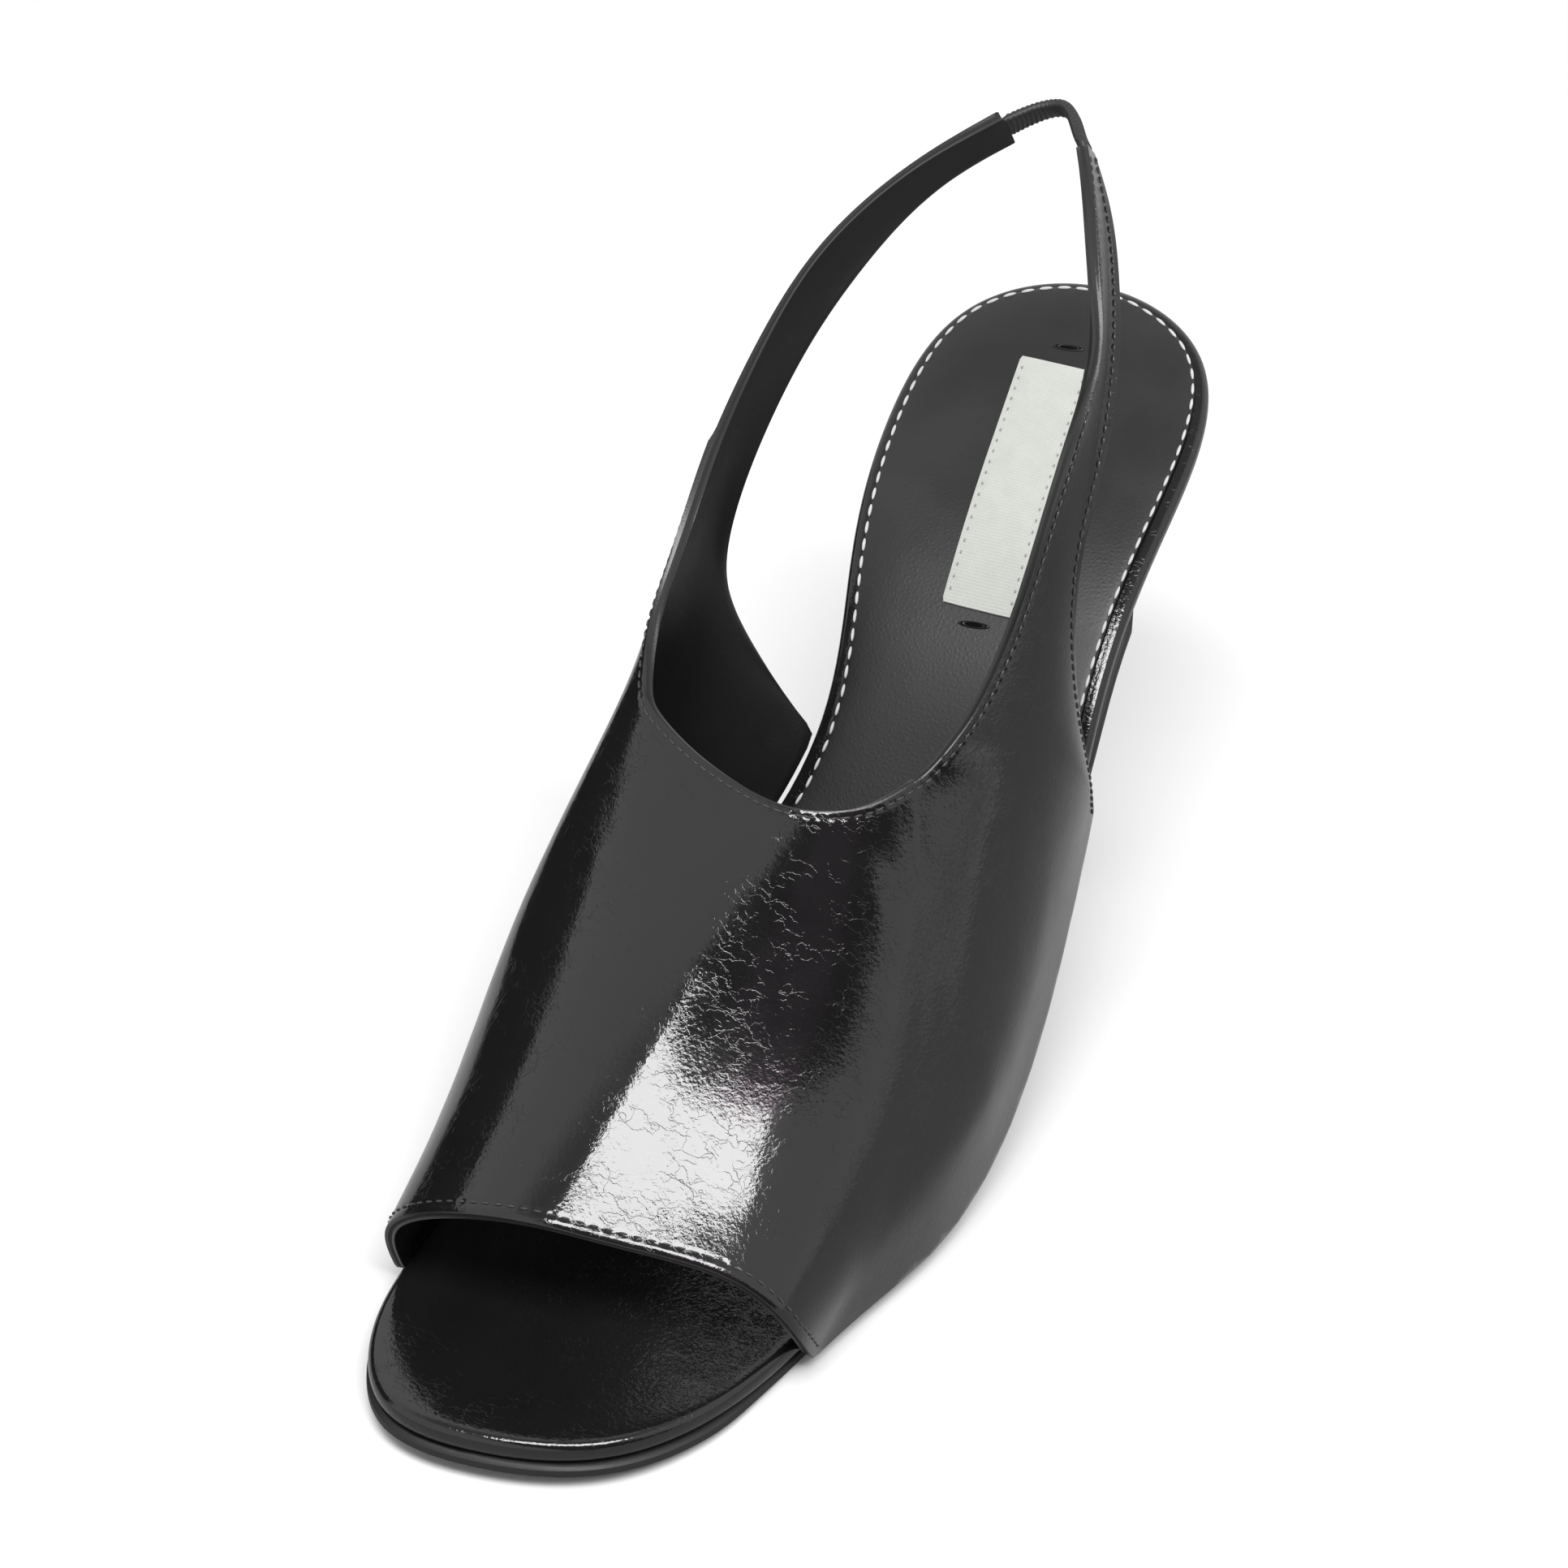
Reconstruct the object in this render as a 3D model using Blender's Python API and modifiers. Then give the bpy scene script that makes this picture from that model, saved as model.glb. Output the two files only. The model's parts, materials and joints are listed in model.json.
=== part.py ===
# Slingback sandal with a slim high heel, left shoe.
# The toe points to -Y, the heel to +Y, the outer (lateral) side of the foot to +X and the floor is z = 0.

import math
from collections import namedtuple

import bmesh
import bpy
import numpy as np

# Driving sizes of the last, in metres.
SOLE_LENGTH = 0.2186      # footbed, toe tip to back of the seat, measured on the floor
BALL_WIDTH = 0.0760       # footbed, straight across the ball
SEAT_HEIGHT = 0.0984      # footbed at the back of the seat, above the floor
INSTEP_RISE = 0.0620      # crest of the vamp at the throat, above the curve of climb()

# Thicknesses and clearances.
OUTSOLE_THICK = 0.0025
INSOLE_THICK = 0.0040
SOCK_THICK = 0.0012
LABEL_THICK = 0.0005
WALL = 0.0020             # upper: patent leather, lining and filler together
FIT_GAP = 0.0003          # between pieces that meet
FOOT_THICK = OUTSOLE_THICK + FIT_GAP + INSOLE_THICK

# Sole pieces.
OUTSOLE_MARGIN = 0.0002   # outsole past the footbed at toe and waist
VAMP_MARGIN = -0.0006     # the same below the vamp, where the upper overhangs it
UNDER_VAMP_FRONT = (0.10, 0.16)  # shares of the length over which the outsole's edge draws in
UNDER_VAMP_BACK = (0.61, 0.66)   # and comes out again
RIM_RADIUS = 0.0016       # rounded top edge of the wrapped footbed
SOCK_INSET = 0.0024       # sock edge inside the footbed's edge
SOCK_FRONT = 0.300        # share of the length where the sock starts, hidden under the vamp
LABEL_LENGTH = 0.0446     # measured on the floor
LABEL_WIDTH = 0.0130
LABEL_BACK = 0.0191       # label's rear end to the back of the seat
LABEL_FRONT_ACROSS = 0.0017
LABEL_REAR_ACROSS = -0.0016

# Heel.
BREAST = 0.752            # share of the length where the heel's front meets the footbed
TIP_FRONT = 0.787         # share of the length of the heel tip's flat front
TIP_LENGTH = 0.0108
TIP_HALF_WIDTH = 0.0053
TOP_PIECE_THICK = 0.0055
SEAT_INSET = 0.0006       # heel's top edge inside the footbed's edge

# Elastic at the back of the sling.
ELASTIC_WIDTH = 0.0056
ELASTIC_THICK = 0.0020
ELASTIC_GAP = 0.0007      # to the end face of each strap
ELASTIC_HANDLE = 0.0120   # length of the curve's handle at each strap
ELASTIC_LEVEL = 0.25      # share of the straps' climb that it keeps

# Mesh density.
EDGE_POINTS = 480         # round the footbed's outline
SOLE_STATIONS = 36        # from toe to heel
RIM_STEPS = 3
LABEL_STATIONS = 15
TIP_SIDES = 24            # round the back of the heel tip
HEEL_SIDES = 26           # round the back of a heel ring
BREAST_SIDES = 6          # across its flat front
WALL_STEPS = 12           # of the upper, from its top edge to its lower edge
SECTION_STEPS = 48
SECTION_COUNT = 141
ELASTIC_STEPS = 22

Outline = namedtuple("Outline", "along across")
Height = namedtuple("Height", "along rise")
Section = namedtuple("Section", "along crest crest_rise inner inner_rise outer outer_rise slope")
Rib = namedtuple("Rib", "top_along top_across top_rise low_along low_across low_rise steps")
HeelRing = namedtuple("HeelRing", "rise flare")

# Corners of the elastic's section in halves of its width and thickness.
ELASTIC_SECTION = ((-1, -0.5), (-0.7, -1), (0.7, -1), (1, -0.5), (1, 0.5), (0.7, 1), (-0.7, 1), (-1, 0.5))

# Footbed outline from the toe tip along the outer side to the heel and back along the inner side.
# Lengths are shares of SOLE_LENGTH (along) and BALL_WIDTH (across).
FOOTBED_OUTLINE = (
    Outline(0.001, -0.270),
    Outline(0.034, -0.017),
    Outline(0.120, 0.155),
    Outline(0.224, 0.238),
    Outline(0.329, 0.332),
    Outline(0.448, 0.386),
    Outline(0.574, 0.372),
    Outline(0.709, 0.343),
    Outline(0.838, 0.360),
    Outline(0.953, 0.292),
    Outline(1.000, 0.000),
    Outline(0.953, -0.292),
    Outline(0.838, -0.360),
    Outline(0.714, -0.308),
    Outline(0.627, -0.262),
    Outline(0.549, -0.345),
    Outline(0.476, -0.478),
    Outline(0.403, -0.596),
    Outline(0.311, -0.656),
    Outline(0.192, -0.650),
    Outline(0.083, -0.626),
    Outline(0.008, -0.480),
)

# Height of the footbed: rise is a share of the climb from the ball's flat spot to SEAT_HEIGHT.
FOOTBED_CLIMB = (
    Height(0.000, 0.034),
    Height(0.100, 0.013),
    Height(0.220, 0.000),
    Height(0.330, 0.000),
    Height(0.390, 0.030),
    Height(0.457, 0.122),
    Height(0.572, 0.362),
    Height(0.686, 0.640),
    Height(0.778, 0.783),
    Height(0.869, 0.877),
    Height(1.000, 1.000),
)

# Cross sections of the last. crest and the two widest points (inner and outer) are shares of
# BALL_WIDTH: crest is across from the middle, inner and outer are past the sole's edge.
# Rises are shares of INSTEP_RISE above climb(). slope is 1 for an elliptic outer side, more if flatter.
LAST_SECTIONS = (
    Section(0.110, -0.316, 0.521, 0.000, 0.174, 0.000, 0.150, 1.00),
    Section(0.206, -0.260, 0.650, 0.000, 0.190, 0.000, 0.170, 1.28),
    Section(0.297, -0.190, 0.805, 0.000, 0.230, 0.000, 0.170, 1.45),
    Section(0.393, -0.120, 0.997, 0.022, 0.330, 0.000, 0.190, 1.55),
    Section(0.480, -0.120, 1.215, 0.056, 0.520, -0.004, 0.260, 1.42),
    Section(0.549, -0.110, 1.489, 0.150, 0.700, -0.010, 0.350, 1.15),
    Section(0.627, -0.105, 1.900, 0.235, 0.765, 0.000, 0.380, 1.00),
    Section(0.700, -0.090, 2.100, 0.160, 0.765, -0.010, 0.520, 1.00),
)

# Ribs of the upper, from the inner strap's end round the throat to the outer strap's end. Each joins
# a point of the top edge to a point of the lower edge; low_across None stands on the sole's edge.
# along: share of SOLE_LENGTH, across: of BALL_WIDTH, rise: of INSTEP_RISE above climb().
# steps is the number of faces from the rib before.
UPPER_RIBS = (
    Rib(0.838, -0.111, 1.297, 0.860, -0.104, 1.130, 0),
    Rib(0.789, -0.249, 1.325, 0.808, -0.246, 1.167, 4),
    Rib(0.733, -0.375, 1.316, 0.754, -0.368, 1.098, 4),
    Rib(0.675, -0.461, 1.238, 0.690, -0.461, 0.972, 4),
    Rib(0.622, -0.508, 1.136, 0.643, -0.519, 0.750, 3),
    Rib(0.581, -0.524, 1.055, 0.633, -0.505, 0.460, 3),
    Rib(0.544, -0.526, 1.014, 0.620, None, None, 3),
    Rib(0.503, -0.517, 0.993, 0.480, None, None, 4),
    Rib(0.464, -0.480, 0.980, 0.320, None, None, 4),
    Rib(0.436, -0.408, 0.979, 0.155, None, None, 5),
    Rib(0.416, -0.297, 0.981, 0.121, -0.628, 0.341, 3),
    Rib(0.398, -0.158, 0.990, 0.109, -0.370, 0.517, 3),
    Rib(0.393, -0.009, 0.995, 0.124, -0.084, 0.485, 4),
    Rib(0.414, 0.105, 0.973, 0.146, 0.158, 0.379, 3),
    Rib(0.437, 0.151, 0.958, 0.157, 0.250, 0.215, 2),
    Rib(0.445, 0.165, 0.951, 0.192, None, None, 2),
    Rib(0.455, 0.182, 0.947, 0.340, None, None, 5),
    Rib(0.467, 0.199, 0.951, 0.490, None, None, 4),
    Rib(0.482, 0.218, 0.963, 0.616, None, None, 4),
    Rib(0.508, 0.244, 0.993, 0.613, 0.387, 0.370, 4),
    Rib(0.545, 0.267, 1.066, 0.599, 0.363, 0.691, 3),
    Rib(0.590, 0.286, 1.190, 0.615, 0.342, 0.990, 3),
    Rib(0.632, 0.298, 1.284, 0.657, 0.341, 1.120, 3),
    Rib(0.678, 0.305, 1.359, 0.700, 0.324, 1.210, 3),
    Rib(0.718, 0.255, 1.411, 0.746, 0.276, 1.234, 3),
    Rib(0.773, 0.178, 1.423, 0.800, 0.200, 1.222, 3),
    Rib(0.812, 0.121, 1.379, 0.848, 0.104, 1.184, 3),
)
SECTIONS_START = 0.08     # shares of the length over which the sections are worked out
SECTIONS_END = 0.72
UNDERSIDE_RISE = 1.5      # how full the sides turn under to the sole, in height and across
UNDERSIDE_REACH = 1.1
CREST_BEND = 0.3          # how much of a flatter outer side shows at the crest; the rest lies low
LEAST_SIDE = 0.004        # widest point at least this far above the sole's edge
STRAP_START = 0.62        # share of the length where the ribs start to leave the last's sections
STRAP_FREE = 0.70         # share of the length behind which the ribs are straight
FAIRING_START = 0.40      # share of the length where the net starts to be evened out
FAIRING_FULL = 0.56       # share of the length behind which it is evened out in full
FAIRING_PASSES = 40
FAIRING_PULL = 0.5        # share of the way to its neighbours' middle that a point moves in a pass

# The heel from tip to seat: rise is a share of its own height, flare how far the ring has grown
# from the tip's outline to the seat's.
HEEL_RINGS = (
    HeelRing(0.00, 0.012),
    HeelRing(0.06, 0.000),
    HeelRing(0.22, 0.000),
    HeelRing(0.34, 0.020),
    HeelRing(0.45, 0.070),
    HeelRing(0.55, 0.150),
    HeelRing(0.65, 0.260),
    HeelRing(0.75, 0.400),
    HeelRing(0.84, 0.560),
    HeelRing(0.92, 0.745),
    HeelRing(0.97, 0.890),
    HeelRing(1.00, 1.000),
)


def spline(knots, values, closed=False):
    """Curve with smooth curvature through the values; returns a function of the knot parameter."""
    knots = np.asarray(knots, float)
    values = np.asarray(values, float)
    steps = np.diff(knots)
    count = len(knots)
    matrix = np.zeros((count, count))
    right = np.zeros(values.shape)
    secants = np.diff(values, axis=0) / steps.reshape((-1,) + (1,) * (values.ndim - 1))
    for i in range(1, count - 1):
        matrix[i, i - 1:i + 2] = (1 / steps[i - 1], 2 / steps[i - 1] + 2 / steps[i], 1 / steps[i])
        right[i] = 3 * (secants[i - 1] / steps[i - 1] + secants[i] / steps[i])
    if closed:
        matrix[0, 0], matrix[0, 1] = 2 / steps[-1] + 2 / steps[0], 1 / steps[0]
        matrix[0, -2] = 1 / steps[-1]
        right[0] = 3 * (secants[-1] / steps[-1] + secants[0] / steps[0])
        matrix[-1, 0], matrix[-1, -1] = 1, -1
    else:
        matrix[0, :2], right[0] = (2, 1), 3 * secants[0]
        matrix[-1, -2:], right[-1] = (1, 2), 3 * secants[-1]
    slopes = np.linalg.solve(matrix, right)

    def evaluate(where):
        where = np.atleast_1d(np.asarray(where, float))
        i = np.clip(np.searchsorted(knots, where, side="right") - 1, 0, count - 2)
        width = steps[i]
        t = (where - knots[i]) / width
        if values.ndim > 1:
            t, width = t[:, None], width[:, None]
        return ((1 + 2 * t) * (1 - t) ** 2 * values[i] + t * (1 - t) ** 2 * width * slopes[i]
                + t * t * (3 - 2 * t) * values[i + 1] + t * t * (t - 1) * width * slopes[i + 1])
    return evaluate


def lengths_along(points):
    return np.concatenate([[0], np.cumsum(np.linalg.norm(np.diff(points, axis=0), axis=1))])


def path(points, count, closed=False):
    """Points spaced evenly along a smooth curve through the given points."""
    points = np.asarray(points, float)
    if closed:
        points = np.vstack([points, points[:1]])
    knots = lengths_along(points)
    dense = spline(knots, points, closed)(np.linspace(0, knots[-1], 40 * len(points)))
    run = lengths_along(dense)
    wanted = np.linspace(0, run[-1], count + 1 if closed else count)
    even = np.column_stack([np.interp(wanted, run, dense[:, k]) for k in range(dense.shape[1])])
    return even[:-1] if closed else even


def footbed_table():
    """Height and slope of the footbed for close stations along the shoe."""
    climb_rows = np.array(FOOTBED_CLIMB)
    along, rise = climb_rows[:, 0], climb_rows[:, 1]
    secants = np.diff(rise) / np.diff(along)
    slopes = np.zeros(len(rise))
    slopes[0], slopes[-1] = secants[0], secants[-1]
    for i in range(1, len(rise) - 1):
        if secants[i - 1] * secants[i] > 0:
            slopes[i] = 2 * secants[i - 1] * secants[i] / (secants[i - 1] + secants[i])
    where = np.linspace(-0.05, 1.05, 2201)
    i = np.clip(np.searchsorted(along, where, side="right") - 1, 0, len(along) - 2)
    width = np.diff(along)[i]
    t = (where - along[i]) / width
    share = ((1 + 2 * t) * (1 - t) ** 2 * rise[i] + t * (1 - t) ** 2 * width * slopes[i]
             + t * t * (3 - 2 * t) * rise[i + 1] + t * t * (t - 1) * width * slopes[i + 1])
    before, after = where < 0, where > 1
    share[before] = rise[0] + where[before] * slopes[0]
    share[after] = rise[-1] + (where[after] - 1) * slopes[-1]
    return where * SOLE_LENGTH, FOOT_THICK + share * (SEAT_HEIGHT - FOOT_THICK)


FOOTBED_Y, FOOTBED_Z = footbed_table()
FOOTBED_SLOPE = np.gradient(FOOTBED_Z, FOOTBED_Y)


def footbed(across, along, depth):
    """Point below the footbed's surface, at a depth counted square to it; all in metres."""
    slope = np.interp(along, FOOTBED_Y, FOOTBED_SLOPE)
    height = np.interp(along, FOOTBED_Y, FOOTBED_Z)
    drop = depth / math.sqrt(1 + slope * slope)
    return across, along + drop * slope, height - drop


def station_above(along, depth):
    """Place along the footbed from which a depth square to it reaches a place along the floor."""
    station = along
    for _ in range(4):
        station += along - footbed(0, station, depth)[1]
    return station


def climb(along):
    """Smooth curve from which the upper's heights are counted; it rises with the seat."""
    return SEAT_HEIGHT * (along / SOLE_LENGTH) ** 2


def outline_points():
    rows = [(row.across * BALL_WIDTH, row.along * SOLE_LENGTH) for row in FOOTBED_OUTLINE]
    return path(rows, EDGE_POINTS, closed=True)


FOOTBED_EDGE = outline_points()


def offset_edge(margin):
    """The footbed's edge moved outwards by a margin, one value or one for each point."""
    ahead = np.roll(FOOTBED_EDGE, -1, axis=0) - np.roll(FOOTBED_EDGE, 1, axis=0)
    normals = np.column_stack([ahead[:, 1], -ahead[:, 0]])
    normals /= np.linalg.norm(normals, axis=1)[:, None]
    return FOOTBED_EDGE + normals * np.reshape(margin, (-1, 1))


def edge_sides(margin):
    """Outer and inner side of an offset edge, each from toe to heel, as (along, across)."""
    points = offset_edge(margin)
    toe, heel = points[:, 1].argmin(), points[:, 1].argmax()
    points = np.roll(points, -toe, axis=0)
    heel = (heel - toe) % len(points)
    outer = points[:heel + 1]
    inner = np.vstack([points[:1], points[:heel - 1:-1]])
    return outer, inner


def edge_across(side, along):
    """Across position of one side of an edge at a place along the shoe."""
    return float(np.interp(along, side[:, 1], side[:, 0]))


def ease(value, start, end):
    """0 before start, 1 past end and a smooth step between them."""
    share = min(max((value - start) / (end - start), 0.0), 1.0)
    return share * share * (3 - 2 * share)


def under_vamp(along):
    """1 where the upper stands on the sole's edge, fading to 0 at toe and waist."""
    share = along / SOLE_LENGTH
    return min(ease(share, *UNDER_VAMP_FRONT), 1 - ease(share, *UNDER_VAMP_BACK))


def outsole_margin(extra=0.0):
    spread = np.array([under_vamp(point[1]) for point in FOOTBED_EDGE])
    return OUTSOLE_MARGIN + (VAMP_MARGIN - OUTSOLE_MARGIN) * spread + extra


def new_object(name, mesh_builder):
    """Object in the shoe's collection from a bmesh with its faces turned outwards."""
    bmesh.ops.recalc_face_normals(mesh_builder, faces=mesh_builder.faces)
    mesh = bpy.data.meshes.new(name)
    mesh_builder.to_mesh(mesh)
    mesh_builder.free()
    piece = bpy.data.objects.new(name, mesh)
    SHOE.objects.link(piece)
    return piece


def finish(piece, colour, roughness, metallic=0.0, sharp_degrees=35):
    """Principled material and smooth shading with sharp edges kept."""
    material = bpy.data.materials.new(piece.name)
    material.use_nodes = True
    shader = material.node_tree.nodes["Principled BSDF"]
    shader.inputs["Base Color"].default_value = (*colour, 1)
    shader.inputs["Roughness"].default_value = roughness
    shader.inputs["Metallic"].default_value = metallic
    piece.data.materials.append(material)
    piece.data.shade_smooth()
    piece.data.set_sharp_from_angle(angle=math.radians(sharp_degrees))
    return piece


def ring_rows(margin, depth, start=None, end=None):
    """Pairs (outer, inner) of points round a layer of the sole, from toe to heel.

    A start or end along the shoe cuts the layer square; without it the layer closes at the tip.
    """
    outer, inner = edge_sides(margin)
    low = outer[0, 1] if start is None else start
    high = outer[-1, 1] if end is None else end
    rows = []
    for k in range(SOLE_STATIONS + 1):
        share = k / SOLE_STATIONS
        if start is None and end is None:
            share = (1 - math.cos(math.pi * share)) / 2
        elif start is None:
            share = 1 - math.cos(math.pi / 2 * share)
        elif end is None:
            share = math.sin(math.pi / 2 * share)
        along = low + (high - low) * share
        outer_point = footbed(edge_across(outer, along), along, depth)
        inner_point = footbed(edge_across(inner, along), along, depth)
        closed = (k == 0 and start is None) or (k == SOLE_STATIONS and end is None)
        rows.append((outer_point, None) if closed else (outer_point, inner_point))
    return rows


def sole_layer(name, rings):
    """Closed slab lofted through rings of (outer, inner) rows, from its top face to its lower face."""
    builder = bmesh.new()
    loops = []
    for rows in rings:
        loops.append([[builder.verts.new(point) for point in row if point is not None] for row in rows])
    for cap in (loops[0], loops[-1]):
        for row, after in zip(cap, cap[1:]):
            builder.faces.new(row + after[::-1])
    for upper, lower in zip(loops, loops[1:]):
        around_upper, around_lower = round_trip(upper), round_trip(lower)
        for k in range(len(around_upper)):
            n = (k + 1) % len(around_upper)
            builder.faces.new((around_upper[k], around_upper[n], around_lower[n], around_lower[k]))
    return new_object(name, builder)


def round_trip(rows):
    """Vertices of a ring in order: the outer side to the heel, then the inner side back."""
    return [row[0] for row in rows] + [row[1] for row in reversed(rows) if len(row) > 1]


def make_outsole():
    top = INSOLE_THICK + FIT_GAP
    edge = OUTSOLE_THICK / 4
    end = footbed(0, BREAST * SOLE_LENGTH, top)[1] - FIT_GAP
    rings = []
    for inset, depth in ((edge, top), (0, top + edge), (0, FOOT_THICK - edge), (edge, FOOT_THICK)):
        rings.append(ring_rows(outsole_margin(-inset), depth, None, station_above(end, depth)))
    return finish(sole_layer("outsole", rings), (0.012, 0.012, 0.013), 0.55)


def make_insole():
    rings = []
    for k in range(RIM_STEPS + 1):
        angle = math.pi / 2 * k / RIM_STEPS
        rings.append(ring_rows(RIM_RADIUS * (math.sin(angle) - 1), RIM_RADIUS * (1 - math.cos(angle))))
    rings.append(ring_rows(0.0, INSOLE_THICK - RIM_RADIUS / 2))
    rings.append(ring_rows(-RIM_RADIUS / 2, INSOLE_THICK))
    return finish(sole_layer("insole", rings), (0.010, 0.010, 0.011), 0.14)


def make_sock():
    start = SOCK_FRONT * SOLE_LENGTH
    edge = SOCK_THICK / 2
    rings = [
        ring_rows(-SOCK_INSET - edge, -FIT_GAP - SOCK_THICK, start),
        ring_rows(-SOCK_INSET, -FIT_GAP - SOCK_THICK + edge, start),
        ring_rows(-SOCK_INSET, -FIT_GAP, start),
    ]
    return finish(sole_layer("sock", rings), (0.020, 0.020, 0.022), 0.60)


def make_label():
    low = -2 * FIT_GAP - SOCK_THICK
    back = SOLE_LENGTH - LABEL_BACK
    rings = []
    for depth in (low - LABEL_THICK, low):
        rows = []
        for share in np.linspace(0, 1, LABEL_STATIONS):
            along = back - LABEL_LENGTH * (1 - share)
            middle = LABEL_FRONT_ACROSS + (LABEL_REAR_ACROSS - LABEL_FRONT_ACROSS) * share
            rows.append([footbed(middle + side * LABEL_WIDTH / 2, along, depth) for side in (1, -1)])
        rings.append(rows)
    return finish(sole_layer("label", rings), (0.72, 0.74, 0.70), 0.70)


def tip_outline():
    """D shape of the heel tip: flat in front, half an ellipse behind, as (across, along)."""
    front = TIP_FRONT * SOLE_LENGTH
    straight = TIP_LENGTH - TIP_HALF_WIDTH
    points = [(TIP_HALF_WIDTH, front), (TIP_HALF_WIDTH, front + straight)]
    for k in range(1, TIP_SIDES):
        angle = math.pi * k / TIP_SIDES
        points.append((TIP_HALF_WIDTH * math.cos(angle), front + straight + TIP_HALF_WIDTH * math.sin(angle)))
    points += [(-TIP_HALF_WIDTH, front + straight), (-TIP_HALF_WIDTH, front)]
    return np.array(points)


def seat_outline():
    """The heel's top edge on the footbed: from the breast round the back, as (across, along)."""
    outer, inner = edge_sides(-SEAT_INSET)
    start = BREAST * SOLE_LENGTH
    points = [(edge_across(outer, start), start)]
    points += [tuple(point) for point in outer if point[1] > start]
    points += [tuple(point) for point in inner[::-1] if point[1] > start]
    points.append((edge_across(inner, start), start))
    return np.array(points)


def even(points, count):
    run = lengths_along(points)
    wanted = np.linspace(0, run[-1], count)
    return np.column_stack([np.interp(wanted, run, points[:, k]) for k in range(2)])


def breast_line(left, right):
    return np.linspace(left, right, BREAST_SIDES + 1)[1:-1]


def make_heel():
    tip = even(tip_outline(), HEEL_SIDES + 1)
    seat = even(seat_outline(), HEEL_SIDES + 1)
    tip = np.vstack([tip, breast_line(tip[-1], tip[0])])
    seat = np.vstack([seat, breast_line(seat[-1], seat[0])])
    low = TOP_PIECE_THICK + FIT_GAP
    top = np.array([footbed(x, y, INSOLE_THICK + FIT_GAP) for x, y in seat])
    flare_of = spline([row.rise for row in HEEL_RINGS], [row.flare for row in HEEL_RINGS])
    builder = bmesh.new()
    loops = []
    for row in HEEL_RINGS:
        flare = float(flare_of(row.rise)[0])
        across = tip[:, 0] + (top[:, 0] - tip[:, 0]) * flare
        along = tip[:, 1] + (top[:, 1] - tip[:, 1]) * flare
        height = low + (top[:, 2] - low) * row.rise
        loops.append([builder.verts.new(point) for point in zip(across, along, height)])
    for lower, upper in zip(loops, loops[1:]):
        for k in range(len(lower)):
            n = (k + 1) % len(lower)
            builder.faces.new((lower[k], lower[n], upper[n], upper[k]))
    builder.faces.new(loops[0])
    fill_seat(builder, loops[-1])
    return finish(new_object("heel", builder), (0.010, 0.010, 0.011), 0.14)


def fill_seat(builder, loop):
    """Cap of the heel's top, in rows from the breast to the back so that it follows the footbed."""
    around = loop[:HEEL_SIDES + 1]
    front = loop[HEEL_SIDES + 1:]
    half = HEEL_SIDES // 2
    first = [around[0]] + front[::-1] + [around[-1]]
    builder.faces.new(first + [around[-2], around[1]])
    for k in range(1, half - 1):
        builder.faces.new((around[k], around[k + 1], around[-k - 2], around[-k - 1]))
    builder.faces.new((around[half - 1], around[half], around[half + 1]))


def make_top_piece():
    outline = bpy.data.curves.new("top_piece_outline", "CURVE")
    outline.dimensions = "2D"
    outline.fill_mode = "BOTH"
    outline.extrude = TOP_PIECE_THICK / 2
    points = tip_outline()
    line = outline.splines.new("POLY")
    line.points.add(len(points) - 1)
    for slot, (across, along) in zip(line.points, points):
        slot.co = (across, along, 0, 1)
    line.use_cyclic_u = True
    guide = bpy.data.objects.new("top_piece_outline", outline)
    SHOE.objects.link(guide)
    bpy.context.view_layer.update()
    mesh = bpy.data.meshes.new_from_object(guide.evaluated_get(bpy.context.evaluated_depsgraph_get()))
    bpy.data.objects.remove(guide)
    builder = bmesh.new()
    builder.from_mesh(mesh)
    bmesh.ops.remove_doubles(builder, verts=builder.verts, dist=0.00001)
    bmesh.ops.translate(builder, verts=builder.verts, vec=(0, 0, TOP_PIECE_THICK / 2))
    piece = new_object("top_piece", builder)
    piece.data.materials.clear()
    return finish(piece, (0.014, 0.014, 0.014), 0.50)


SECTION_ROWS = np.array(LAST_SECTIONS)
SECTION_VALUES = spline(SECTION_ROWS[:, 0], SECTION_ROWS[:, 1:])
WALL_MARGIN = FIT_GAP + WALL
WALL_OUTER, WALL_INNER = edge_sides(WALL_MARGIN)
WALL_DEPTH = INSOLE_THICK


def sole_edge(side, along):
    """Foot of the upper's outer face on the sole, at a place along the footbed."""
    return footbed(edge_across(side, along), along, WALL_DEPTH)


def half_section(edge, crest, wide, slope):
    """Points from the sole's edge out to the widest point and up to the crest, as (across, height)."""
    points = []
    for k in range(SECTION_STEPS // 2):
        angle = math.pi / 2 * (1 - k / (SECTION_STEPS // 2))
        rise = math.sin(angle) ** UNDERSIDE_RISE
        reach = math.cos(angle) ** UNDERSIDE_REACH
        points.append((edge[0] + (wide[0] - edge[0]) * reach, wide[1] + (edge[1] - wide[1]) * rise))
    for k in range(SECTION_STEPS + 1):
        angle = math.pi / 2 * k / SECTION_STEPS
        reach = math.cos(angle) ** (1 + (slope - 1) * CREST_BEND)
        rise = math.sin(angle) ** (1 + (slope - 1) * (2 - CREST_BEND))
        points.append((crest[0] + (wide[0] - crest[0]) * reach, wide[1] + (crest[1] - wide[1]) * rise))
    return np.array(points)


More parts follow.
